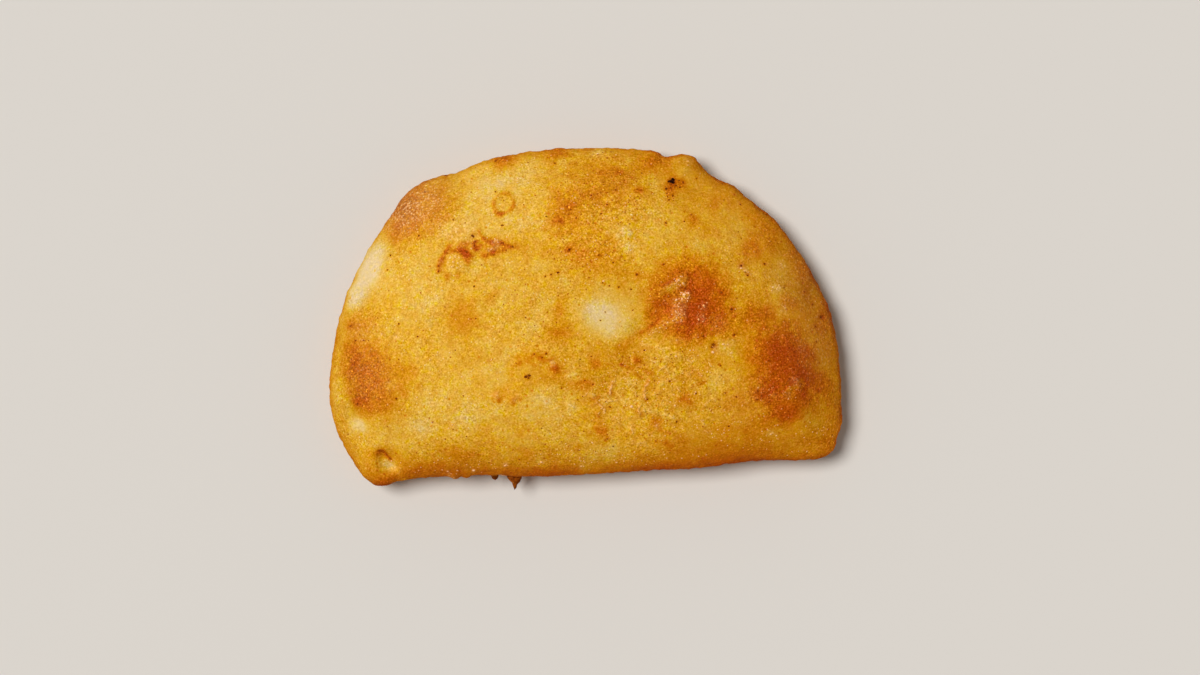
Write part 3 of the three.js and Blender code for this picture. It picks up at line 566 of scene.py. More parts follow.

# small strokes and lumps, each with its own browning, creaminess and height; on many lumps the creaminess is a painted
# highlight
STROKES = [  # points, half width, browning, milk, up (mm)
    # the torn edge of the burst blister, upper left
    ([(449, 245.5), (447.5, 249), (445.5, 252)], 2.1, 0.70, 0.0, 0.20), ([(445.5, 252), (442.5, 256), (441, 260)], 2.1, 0.62, 0.08, 0.22),
    ([(441, 260), (439.3, 264), (438.6, 270.5)], 2.5, 0.64, 0.10, 0.26), ([(438.8, 265.5)], 1.7, 0.50, 0.0, 0.0), ([(437.8, 271)], 1.8, 0.45, 0.0, 0.0),
    ([(448.8, 247.5)], 1.9, 0.50, 0.0, 0.06), ([(445, 255), (443.6, 263), (444, 269)], 2.8, 0.24, 0.0, -0.20),
    ([(451, 251.5), (455, 250.6), (458, 250)], 2.3, 0.60, 0.0, 0.08), ([(461, 250)], 3.6, 0.90, 0.0, 0.16),
    ([(465, 253)], 4.3, 1.35, 0.0, 0.20), ([(469, 254.5)], 3.1, 0.80, 0.0, 0.18), ([(458.5, 247.5)], 2.2, 0.48, 0.10, 0.10),
    ([(463, 244.5), (468, 243.5)], 2.8, 0.70, 0.06, 0.20), ([(460.5, 243)], 1.8, 0.30, 0.06, 0.06),
    ([(466, 257.5), (467.2, 262)], 3.0, 0.82, 0.0, 0.10), ([(469, 259), (472, 257)], 2.8, 0.36, 0.0, 0.06), ([(463, 269)], 1.4, 0.35, 0.0, 0.0),
    # the ring blister's rim
    ([(493.4, 200), (493, 205), (494.4, 210)], 2.4, 0.46, 0.0, 0.06), ([(503.6, 194.4), (508.4, 195.4)], 1.9, 0.42, 0.0, 0.06),
    ([(513.2, 202), (513, 208), (510.4, 212)], 1.7, 0.38, 0.0, 0.06), ([(496.4, 215.2), (500.4, 216.4)], 2.0, 0.50, 0.0, 0.06),
    # dots beside the mottled stretch
    ([(539, 215)], 2.2, 0.45, 0.0, 0.0), ([(534, 219)], 1.6, 0.30, 0.0, 0.0), ([(547, 213)], 1.8, 0.34, 0.0, 0.0), ([(553, 221)], 2.0, 0.40, 0.0, 0.0),
    ([(545, 229)], 1.7, 0.36, 0.0, 0.0), ([(550, 234), (556, 236)], 1.7, 0.30, 0.0, 0.0), ([(537, 225), (541, 222)], 1.6, -0.20, 0.10, 0.08),
    # a small curl
    ([(473.2, 243.5), (473.2, 247.5), (476, 249.5)], 1.9, 0.98, 0.0, 0.18), ([(476, 249.5), (479.5, 248), (480, 244.5)], 1.8, 0.80, 0.04, 0.20),
    ([(474, 241.8), (477.5, 241)], 1.8, 0.85, 0.0, 0.14), ([(475.8, 246.2)], 2.2, 1.20, 0.0, -0.24), ([(471.2, 248.4)], 1.7, 0.0, 0.34, 0.12),
    # the spur and the dots beside it
    ([(478.5, 231), (480.3, 235), (483, 238.6)], 1.8, 0.60, 0.0, 0.16), ([(483, 238.6), (486.5, 241.3), (491.5, 243)], 2.3, 0.76, 0.06, 0.20),
    ([(482.3, 245)], 1.5, 0.50, 0.0, 0.08), ([(485, 246.8)], 1.4, 0.45, 0.0, 0.08), ([(486, 238.5)], 1.8, 0.38, 0.14, 0.10),
    ([(490, 239.5)], 1.8, 0.50, 0.0, 0.10),
    # the pink lump and the streak under it
    ([(496.2, 241)], 4.0, 0.52, 0.34, 0.40), ([(498.5, 244.5)], 2.4, 0.36, 0.26, 0.16), ([(493.5, 245)], 2.0, 0.42, 0.22, 0.10),
    ([(487.5, 249.8), (492, 249.6), (496, 247)], 2.0, 0.30, 0.40, 0.24), ([(490.5, 252.3), (495, 250.8)], 1.6, 0.34, 0.0, -0.16),
    # the orange band below, and its tail
    ([(483, 255), (488, 255.3), (492, 253.6)], 2.9, 0.66, 0.0, 0.10), ([(492, 253.6), (498, 252), (503, 249.5)], 2.7, 0.46, 0.0, 0.06),
    ([(503, 249.5), (508, 246.5)], 2.3, 0.56, 0.0, 0.06), ([(485.6, 255.6)], 2.0, 0.46, 0.0, 0.0), ([(484.5, 259), (486.5, 263)], 1.7, 0.22, 0.0, 0.0),
    ([(500.5, 243.4), (505, 245.3), (509, 246.4)], 1.9, 0.60, 0.0, 0.14), ([(510, 246.8), (517, 248)], 1.9, 0.42, 0.06, 0.08),
    ([(501, 243.6)], 1.7, 0.70, 0.0, 0.0), ([(504, 245.2)], 1.5, 0.50, 0.0, 0.0),
    ([(514.5, 244)], 1.5, 0.35, 0.0, 0.06), ([(447, 275.5)], 3.4, 0.60, 0.0, 0.10), ([(447.6, 279)], 2.4, 0.34, 0.0, 0.0),
    ([(458, 275)], 3.8, 0.38, 0.0, 0.08), ([(453, 241)], 2.0, 0.16, 0.16, 0.06), ([(449, 238)], 1.8, 0.14, 0.14, 0.05),
    # bubbles on the blister
    ([(450.3, 257.8)], 1.7, -0.10, 0.50, 0.16), ([(455, 256.8)], 1.5, -0.10, 0.42, 0.14), ([(459, 258.2)], 1.7, -0.10, 0.50, 0.16),
    ([(448.2, 262.6)], 1.5, -0.10, 0.40, 0.14), ([(453, 262.4)], 1.6, -0.10, 0.50, 0.16), ([(457.6, 263.4)], 1.7, -0.10, 0.52, 0.16),
    ([(461, 262.3)], 1.3, 0.0, 0.34, 0.10), ([(452, 267.2)], 1.6, -0.10, 0.42, 0.14), ([(457, 268)], 1.6, -0.10, 0.46, 0.14),
    ([(460.6, 266.6)], 1.4, 0.0, 0.34, 0.10),
    # the crease left of the lumpy ridge
    ([(668, 312), (660, 318)], 1.7, 0.06, 0.0, -0.10), ([(658, 319.6), (652, 324.5), (646, 328.5), (640, 332)], 1.5, 0.50, 0.0, -0.16),
    ([(640, 332), (633, 337)], 3.0, 0.20, 0.0, -0.08), ([(630, 340), (619, 348)], 5.0, 0.12, 0.0, 0.0),
    # the row of lumps along its other side, with painted highlights
    ([(676, 317)], 2.4, -0.16, 0.20, 0.20), ([(671, 320.4)], 2.1, -0.12, 0.14, 0.17), ([(666, 323)], 2.3, -0.12, 0.18, 0.18),
    ([(660.4, 326.6)], 2.2, -0.12, 0.14, 0.16), ([(655, 329.5)], 2.1, -0.12, 0.16, 0.16), ([(649, 334)], 2.4, -0.14, 0.12, 0.15),
    ([(643, 339)], 2.4, -0.14, 0.14, 0.15), ([(663.4, 329.6)], 1.7, 0.0, 0.14, 0.12), ([(668, 327.6)], 1.6, 0.24, 0.0, -0.08),
    # the glossy lumps of the ridge, with painted highlights, and dark gaps
    ([(684.4, 296)], 3.0, -0.50, 0.36, 0.30), ([(688.6, 295)], 2.2, -0.40, 0.30, 0.20), ([(676, 300.4)], 2.0, -0.34, 0.40, 0.24),
    ([(681.4, 302.6)], 1.9, -0.24, 0.24, 0.16), ([(673.8, 304.4)], 1.7, -0.12, 0.16, 0.16), ([(678, 307.6)], 2.3, -0.12, 0.28, 0.20),
    ([(683.4, 309.8)], 2.0, -0.04, 0.22, 0.18), ([(674.8, 311.6)], 2.1, -0.04, 0.28, 0.20), ([(679.6, 314)], 2.2, -0.04, 0.24, 0.18),
    ([(684.4, 315.8)], 1.7, -0.04, 0.20, 0.15), ([(680.4, 320)], 2.0, -0.04, 0.24, 0.18), ([(671, 314)], 1.7, 0.0, 0.14, 0.15),
    ([(680, 299.6)], 1.5, 0.50, 0.0, -0.16), ([(678.6, 311)], 1.3, 0.36, 0.0, -0.12), ([(682, 306)], 1.4, 0.36, 0.0, -0.14),
    ([(677, 315.8)], 1.2, 0.30, 0.0, -0.10), ([(672.6, 308)], 1.4, 0.36, 0.0, -0.12), ([(687.4, 303)], 1.6, 0.24, 0.0, -0.12),
    ([(678, 280)], 2.5, -0.34, 0.30, 0.22), ([(682.4, 283.6)], 2.2, -0.34, 0.30, 0.20), ([(674, 284)], 2.1, -0.26, 0.18, 0.15),
    ([(669, 287.4)], 2.3, -0.24, 0.12, 0.13), ([(684.4, 278)], 1.8, -0.20, 0.22, 0.14), ([(676.6, 288)], 1.9, -0.22, 0.18, 0.12),
    ([(679.6, 285)], 1.3, 0.30, 0.0, -0.10), ([(688.6, 287)], 1.5, 0.26, 0.0, -0.10), ([(664, 290.4), (659, 294)], 1.8, -0.14, 0.08, 0.12),
    # oily lumps on the brown to its right and left, with painted highlights
    ([(703, 306.4)], 1.9, -0.14, 0.26, 0.16), ([(706.4, 303)], 1.5, -0.10, 0.16, 0.12), ([(701, 311)], 1.4, -0.08, 0.14, 0.10),
    ([(698.8, 318)], 1.8, -0.12, 0.20, 0.14), ([(703.2, 320)], 1.7, -0.12, 0.18, 0.14), ([(697.8, 323.4)], 1.5, -0.08, 0.16, 0.12),
    ([(664.4, 301)], 1.7, -0.14, 0.14, 0.10), ([(655.6, 311)], 1.4, -0.10, 0.12, 0.08), ([(714, 322)], 1.5, -0.08, 0.12, 0.10),
    # fine raised wrinkles with painted highlights, and the browner dents between them
    ([(641, 343), (648, 345.5)], 2.2, 0.0, 0.15, 0.16), ([(655, 346), (662, 350)], 2.1, -0.08, 0.11, 0.14),
    ([(676, 353), (680, 356.5)], 2.4, 0.0, 0.15, 0.18), ([(660, 353), (668, 358.5)], 2.0, -0.06, 0.07, 0.14),
    ([(657.5, 372), (663.5, 366.4), (668, 372)], 2.0, -0.12, 0.09, 0.18), ([(672, 378), (677.5, 384)], 2.0, -0.10, 0.09, 0.14),
    ([(660, 383), (665.5, 381), (670, 378.6)], 2.0, -0.14, 0.09, 0.16), ([(608.6, 394.5), (610.6, 388.5), (613.2, 383), (612.4, 378.5)], 2.1, 0.10, 0.18, 0.22),
    ([(606, 400), (612, 401.2), (617, 400.8)], 2.0, -0.05, 0.15, 0.18), ([(598.5, 404), (602, 408), (605, 411)], 2.4, 0.16, 0.15, 0.20),
    ([(631, 406)], 2.6, 0.0, 0.24, 0.20), ([(622, 401), (626.5, 404)], 2.0, -0.10, 0.11, 0.12),
    ([(644.4, 398), (643.4, 392), (645, 386), (648.4, 383.4)], 2.3, 0.12, 0.20, 0.24), ([(639.8, 414.5), (637, 410), (641, 403)], 2.2, 0.10, 0.15, 0.20),
    ([(645.5, 408.6), (651.5, 410.2), (656.5, 412)], 2.5, -0.16, 0.13, 0.20), ([(664, 414), (670, 416), (675.6, 419)], 2.5, -0.16, 0.13, 0.20),
    ([(631, 427), (632.5, 433.5)], 2.1, -0.06, 0.13, 0.14), ([(674.2, 405.5)], 2.1, 0.0, 0.20, 0.14), ([(690, 386), (694, 390.5)], 1.8, 0.08, 0.11, 0.12),
    ([(698, 372), (702, 376)], 2.1, 0.0, 0.13, 0.14), ([(712, 398), (716.5, 402)], 2.2, -0.12, 0.11, 0.14), ([(700, 420), (704.5, 424)], 2.1, 0.0, 0.15, 0.14),
    ([(704, 430), (708, 433)], 2.3, 0.0, 0.13, 0.12), ([(592, 405), (597, 402)], 2.0, 0.12, 0.13, 0.16), ([(596.4, 414.5), (600.5, 410.5)], 2.0, 0.10, 0.11, 0.14),
    ([(636, 443.5), (645, 441.8)], 2.3, -0.12, 0.13, 0.14), ([(627, 443.5), (633.5, 440.8)], 2.0, 0.0, 0.09, 0.12), ([(615.5, 392), (620, 396.5)], 2.0, -0.08, 0.09, 0.14),
    ([(684, 372), (690.5, 374.5)], 2.0, -0.04, 0.09, 0.14), ([(619, 424), (616.5, 417)], 2.0, 0.0, 0.11, 0.14), ([(652, 395.5), (658.5, 392)], 1.8, -0.06, 0.07, 0.14),
    ([(626.5, 381.5), (631.5, 386)], 2.0, -0.04, 0.09, 0.14), ([(700.5, 402.5), (707, 407)], 2.0, -0.06, 0.09, 0.12), ([(583, 396.5), (588.5, 391)], 2.0, 0.0, 0.09, 0.14),
    ([(568, 404), (574, 407.5)], 2.1, -0.08, 0.09, 0.14), ([(684.6, 431), (690, 427)], 2.0, 0.0, 0.07, 0.12), ([(664, 397), (668.5, 401.5)], 1.8, 0.0, 0.07, 0.12),
    ([(620.5, 364.5), (626, 367.3), (632, 368)], 1.8, 0.52, 0, -0.14), ([(621, 364.4)], 1.5, 0.70, 0, -0.10),
    ([(640, 368), (646, 372), (653, 373.6)], 2.2, 0.42, 0, 0.10), ([(635, 373.6), (642, 378)], 2.0, 0.40, 0, 0.10),
    ([(678, 399), (684, 398), (690, 402.4)], 2.3, 0.46, 0.01, 0.12), ([(699, 384.5), (704, 382)], 1.7, 0.62, 0, -0.10),
    ([(660, 430), (666.5, 433)], 2.6, 0.40, 0, 0.0), ([(595, 428), (600, 432), (605, 430.5)], 3.0, 0.50, 0, 0.0),
    ([(666, 443), (671.5, 446)], 2.8, 0.46, 0, 0.0), ([(641.4, 413.5)], 1.8, 0.55, 0, -0.12), ([(591.5, 399.5), (598, 397)], 1.7, 0.44, 0, 0.0),
    ([(645.8, 399.4)], 1.6, 0.70, 0, -0.12), ([(613, 396), (611, 391)], 1.5, 0.38, 0, -0.12), ([(634, 358), (640, 361.5)], 2.6, 0.35, 0, 0.10),
    # small bumps, with a painted pink highlight where they face the light and a painted brown shade below
    ([(552.2, 362.8)], 2.7, 0.0, 0.62, 0.26), ([(556.4, 369)], 3.3, 0.50, 0.0, 0.12), ([(551, 368)], 1.6, 0.34, 0.0, 0.0), ([(559.6, 372)], 1.8, 0.30, 0.0, 0.0),
    ([(494.6, 395.0)], 3.1, 0.26, 0.58, 0.36), ([(498.6, 400.6)], 2.6, 0.86, 0.0, 0.02), ([(503.4, 397)], 2.2, 0.36, 0.0, 0.0), ([(492.2, 399.6)], 1.7, 0.36, 0.0, 0.0),
    ([(516.6, 397), (514, 399.4)], 2.0, 0.14, 0.46, 0.24), ([(513.6, 403.8)], 2.0, 0.62, 0.0, 0.0), ([(519.6, 400)], 2.0, 0.42, 0.0, 0.0),
    ([(487, 361)], 1.6, 0.30, 0.12, 0.08), ([(491, 359.6)], 1.3, 0.40, 0.0, 0.0), ([(572, 373.6), (568, 376)], 2.3, -0.24, 0.46, 0.20),
    ([(545, 401.4)], 3.2, -0.20, 0.38, 0.14), ([(557, 407.4)], 2.4, -0.10, 0.32, 0.14), ([(590, 394.4), (594, 396)], 2.1, -0.10, 0.40, 0.18),
    ([(529, 366)], 2.1, 0.0, 0.18, 0.08), ([(539, 365.4)], 1.8, 0.0, 0.16, 0.06), ([(498.4, 385)], 2.2, 0.0, 0.16, 0.06), ([(496, 412)], 2.4, -0.10, 0.16, 0.06),
    ([(517, 356.6), (519, 364.6)], 2.8, 0.34, 0.0, 0.0), ([(531, 358), (534, 354.4), (539, 357.4), (546, 353.4)], 1.8, 0.40, 0.0, 0.06),
    ([(577, 383), (586, 382), (592, 384.4)], 2.2, 0.36, 0.0, 0.0), ([(581, 388)], 1.9, 0.34, 0.0, 0.0), ([(534.6, 383)], 3.4, 0.22, 0.0, 0.0),
    ([(592, 364), (596, 362)], 3.4, 0.26, 0.0, 0.0), ([(512, 375.4)], 1.8, 0.26, 0.0, 0.0), ([(599, 343)], 3.6, 0.26, 0.0, 0.0),
    ([(617, 236.6)], 2.6, -0.20, 0.64, 0.24), ([(622, 229.8)], 2.8, -0.20, 0.60, 0.24), ([(628.6, 234)], 2.6, -0.20, 0.54, 0.24),
    ([(626, 226.4)], 1.8, -0.10, 0.44, 0.16), ([(634, 238.4)], 1.9, -0.10, 0.40, 0.16), ([(607, 232)], 2.1, 0.0, 0.46, 0.16),
    ([(604, 217.4)], 1.8, -0.10, 0.30, 0.12), ([(627, 244), (626, 251)], 2.6, -0.20, 0.22, 0.10), ([(631, 230)], 1.2, 0.36, 0.0, -0.06),
    ([(620.6, 234)], 1.1, 0.36, 0.0, -0.08), ([(625.6, 238.6)], 1.2, 0.30, 0.0, -0.06), ([(553, 238)], 1.7, 0.0, 0.30, 0.12),
    ([(558, 241)], 1.6, 0.0, 0.28, 0.12), ([(562, 238.4)], 1.5, 0.0, 0.28, 0.10), ([(548, 235.4)], 1.6, 0.0, 0.24, 0.10), ([(698, 205)], 1.8, -0.10, 0.28, 0.10),
    ([(655, 172), (650, 164)], 3.0, 0.22, 0.0, 0.0), ([(634, 190.4), (641, 190.8)], 2.0, 0.40, 0.0, 0.0), ([(617, 174), (622, 172)], 2.2, 0.34, 0.0, 0.0),
    ([(567, 208), (573, 204)], 2.6, 0.36, 0.0, 0.0), ([(556, 217), (563, 223)], 3.2, 0.30, 0.0, 0.0), ([(567, 249)], 2.6, 0.36, 0.0, 0.0),
    ([(693, 218)], 3.0, 0.34, 0.0, 0.0), ([(600, 255)], 2.4, 0.34, 0.0, 0.0), ([(579, 253)], 2.2, 0.30, 0.0, 0.0),
    # strokes in the brown patches and elsewhere
    ([(538, 358.5), (547, 360.5), (552, 358.6)], 2.0, 0.42, 0.0, 0.12), ([(527, 362), (535, 365.4)], 1.8, 0.34, 0.0, 0.10),
    ([(513, 366.5), (520, 363)], 1.8, 0.30, 0.0, 0.10), ([(793.5, 377.5), (797.5, 381), (798, 386)], 1.9, -0.28, 0.10, 0.14),
    ([(766, 386.5), (771, 383)], 1.9, 0.30, 0.0, 0.08), ([(757.5, 387.5)], 2.2, -0.40, 0.26, 0.14), ([(773, 395.5)], 2.2, -0.50, 0.26, 0.14),
    # round the corner pit: browner in the hollow and along its border, partly painted shade
    ([(378, 452.6), (382, 451.6)], 3.2, 0.34, 0.0, -0.04), ([(385, 455), (388.6, 458.4)], 1.8, 0.50, 0.0, 0.0),
    ([(388.6, 458), (390.4, 461)], 1.7, 0.50, 0.0, 0.06), ([(448, 474.6), (455, 476.4), (462, 478.6)], 1.3, -0.40, 0.32, 0.10), ([(391.6, 461.6), (395, 465)], 1.6, 0.34, 0.0, 0.10),
    ([(718, 290), (720.5, 293)], 1.6, 0.50, 0.0, -0.10), ([(733.5, 335.5)], 1.9, 0.85, 0.0, -0.14), ([(703.5, 336)], 1.6, 0.55, 0.0, -0.10),
]
lift = np.zeros(n_all)
cream = np.zeros(n_all)
for points, wide, brown, pale, up in STROKES:
    k = line(points, wide, 2.4, 0.10, 0.16)
    toast = toast + brown * k * (1 + 0.22 * rag)
    cream = np.maximum(cream, pale * k)
    lift = lift + up * line(points, wide * 1.05, 2.2, 0.10, 0.10)

SPECKS = [  # u, v, half length, half width (px), turn, burnt
    (672.4, 179.6, 2.3, 1.6, -60, 1), (670.6, 181.8, 2.9, 1.9, -10, 1), (672.6, 182.6, 1.9, 1.3, 70, 1), (668.0, 181.9, 1.3, 0.9, 20, 0.9),
    (665.8, 188.9, 1.5, 1.0, 50, 0.6), (670.0, 188.0, 1.1, 0.8, 0, 0.4), (675.4, 185.6, 1.2, 0.8, 20, 0.5), (672.0, 196.0, 1.1, 0.8, 60, 0.45),
    (668.4, 200.0, 0.9, 0.8, 0, 0.4), (666.4, 193.6, 0.9, 0.7, 30, 0.35), (682.4, 182.6, 1.3, 0.8, 80, 0.4), (679.4, 187.0, 1.0, 0.7, 40, 0.35),
    (678.6, 180.4, 0.9, 0.7, 0, 0.35), (667.0, 196.6, 0.8, 0.7, 0, 0.35),
    (472.4, 236.0, 1.9, 1.0, -45, 0.3), (512.2, 247.4, 1.2, 0.9, -70, 0.3), (502.0, 225.4, 1.6, 0.7, 0, 0.16), (502.4, 243.4, 1.0, 0.7, 0, 0.2),
    (525.4, 376.3, 1.9, 1.3, 20, 0.34), (528.6, 375.6, 1.6, 1.2, 0, 0.42), (527.6, 377.8, 1.0, 0.8, 0, 0.2), (495.0, 161.0, 1.3, 0.9, 0, 0.21), (495.0, 192.0, 1.0, 0.8, 0, 0.21),
    (741.0, 265.8, 1.5, 0.9, 0, 0.29), (747.4, 275.4, 1.2, 0.8, 0, 0.21), (731.2, 309.2, 1.3, 1.1, 0, 0.5), (740.2, 204.0, 1.0, 0.8, 0, 0.23),
    (820.4, 316.8, 1.4, 1.0, 60, 0.6), (387.0, 270.0, 1.1, 0.8, 0, 0.21), (350.0, 326.0, 1.4, 1.0, 30, 0.18), (354.5, 341.0, 1.0, 0.8, 0, 0.2),
    (362.5, 340.5, 1.0, 0.8, 0, 0.18), (418.4, 235.6, 1.0, 0.8, 0, 0.2), (390.0, 255.4, 1.1, 0.8, 60, 0.14), (396.0, 398.5, 1.2, 0.9, 0, 0.16),
    (644.0, 350.0, 1.1, 0.9, 0, 0.2), (669.2, 381.2, 1.2, 0.9, 40, 0.18), (676.2, 421.4, 1.0, 0.8, 80, 0.21), (720.0, 365.6, 1.1, 0.8, 20, 0.16),
    (728.4, 426.2, 1.1, 0.8, 0, 0.16), (724.6, 393.0, 1.0, 0.8, 0, 0.12), (735.6, 396.6, 1.0, 0.8, 0, 0.12), (647.0, 399.2, 1.0, 0.8, 60, 0.16),
    (609.4, 407.4, 1.4, 0.8, -20, 0.18), (607.0, 438.4, 1.1, 0.8, 0, 0.16), (655.4, 441.0, 1.0, 0.7, 0, 0.12), (602.4, 282.8, 0.9, 0.7, 0, 0.18),
    (608.6, 286.0, 0.9, 0.7, 0, 0.18), (630.6, 289.0, 0.9, 0.8, 0, 0.16), (636.6, 274.0, 1.1, 0.8, 0, 0.12), (618.0, 287.4, 1.0, 0.7, 30, 0.12),
    (663.4, 264.4, 0.9, 0.7, 0, 0.16), (604.8, 312.0, 0.8, 0.6, 0, 0.12), (600.0, 320.4, 0.9, 0.6, 0, 0.14), (720.6, 292.6, 1.2, 1.0, 0, 0.14),
    (475.0, 318.5, 1.0, 0.8, 0, 0.18), (733.6, 335.2, 1.3, 1.0, 0, 0.14), (713.2, 344.6, 1.9, 1.1, -35, 0.2), (711.4, 347.6, 1.0, 0.8, 0, 0.12),
    (703.4, 336.0, 1.0, 0.8, 0, 0.14), (665.0, 223.6, 1.1, 0.8, -30, 0.16), (473.8, 286.4, 1.2, 0.8, 60, 0.18), (557.0, 273.0, 0.9, 0.8, 0, 0.16),
    (683.4, 221.6, 1.0, 0.8, 0, 0.09), (696.0, 178.6, 0.9, 0.7, 0, 0.09), (695.6, 393.4, 0.9, 0.7, 0, 0.14), (621.4, 364.6, 1.1, 0.8, 0, 0.16),
    (814.6, 326.4, 0.9, 0.7, 0, 0.18), (816.0, 341.6, 0.9, 0.8, 0, 0.11), (818.0, 391.0, 1.0, 0.8, 60, 0.12), (757.4, 399.4, 1.0, 0.8, 60, 0.16),
    (518.6, 459.0, 0.9, 0.7, 0, 0.11), (424.4, 192.0, 1.0, 0.8, 0, 0.14), (445.4, 175.6, 1.6, 0.9, -15, 0.16), (452.6, 219.6, 1.0, 0.7, 0, 0.12),
    (382.6, 451.2, 1.3, 0.9, 10, 0.1), (386.2, 454.6, 1.3, 1.0, 50, 0.15), (389.8, 458.6, 1.3, 0.9, 40, 0.1), (378.4, 451.4, 1.0, 0.8, 0, 0),
    (764.0, 264.0, 1.4, 0.9, 0, 0), (812.0, 304.0, 1.0, 0.8, 0, 0), (804.0, 292.0, 0.9, 0.7, 0, 0), (357.0, 404.0, 1.4, 1.0, 60, 0.1),
    (417.0, 337.0, 1.0, 0.8, 0, 0), (398.0, 324.0, 1.0, 0.8, 0, 0), (474.8, 241.4, 1.2, 0.8, 20, 0.1), (473.4, 245.6, 1.2, 0.7, 80, 0.1),
    (438.4, 266.0, 1.0, 0.7, 80, 0), (466.0, 252.0, 1.3, 0.9, 30, 0), (500.8, 243.4, 1.2, 0.8, 40, 0.1), (438.2, 271.6, 1.0, 0.7, 70, 0),
    (545.6, 353.4, 1.1, 0.8, 40, 0.05), (541.6, 357.6, 0.9, 0.7, 0, 0.0), (533.4, 354.0, 0.9, 0.7, 0, 0.05), (561.0, 388.0, 0.9, 0.7, 60, 0.1),
    (584.4, 380.4, 0.9, 0.7, 0, 0.0), (592.4, 384.6, 0.9, 0.7, 0, 0.1), (577.0, 399.8, 1.0, 0.6, 0, 0.1), (590.6, 356.4, 0.8, 0.6, 0, 0.05),
    (615.2, 190.0, 1.1, 0.8, 0, 0.15), (590.6, 195.6, 1.2, 0.9, 30, 0.1), (606.4, 204.4, 1.1, 0.7, 0, 0.15), (600.4, 213.4, 1.1, 0.8, 0, 0.05),
    (575.6, 218.0, 1.1, 0.8, 60, 0.1), (570.0, 209.6, 1.2, 0.8, 0, 0.1), (566.6, 206.4, 1.0, 0.8, 0, 0.0), (568.4, 249.6, 1.3, 0.9, 0, 0.1),
    (557.8, 272.6, 1.0, 0.8, 0, 0.2), (550.6, 274.8, 1.0, 0.8, 0, 0.2), (545.0, 276.4, 0.9, 0.7, 0, 0.1), (554.4, 163.6, 1.2, 0.6, -40, 0.0),
    (612.6, 262.4, 1.0, 0.7, 60, 0.1), (598.0, 255.0, 1.2, 0.8, 0, 0.0), (636.0, 274.4, 1.1, 0.8, 60, 0.05), (690.6, 214.6, 1.0, 0.8, 0, 0.0),
    (757.0, 391.0, 1.3, 0.9, 60, 0.1), (761.0, 396.0, 1.1, 0.8, 30, 0), (756.0, 399.6, 1.1, 0.7, 0, 0), (768.4, 402.0, 1.1, 0.8, 0, 0),
]
for u, v, long_, wide_, turn, burnt in SPECKS:
    toast = toast + 0.42 * np.exp(-((U - u) ** 2 + (V - v) ** 2) / (1.7 * long_) ** 2) * is_top

# the side walls and the underside, which the fat browned more evenly
wall = 1 - smooth(2.0, 9.0, z) * topf
under = 1 - topf
u_noise = cloud(P, 16.0, 61, 3)
toast = np.where(
    is_top, toast,
    1.22 + 0.28 * u_noise + 0.10 * noise(P, 3.0, 65)
    + 0.25 * fold * np.exp(-(d_in / 4.0) ** 2) + 0.30 * np.exp(-(d_in / 1.2) ** 2)
    + 0.75 * smooth(0.25, 0.75, cloud(P, 22.0, 71, 2)) * smooth(4.0, 12.0, d_in))

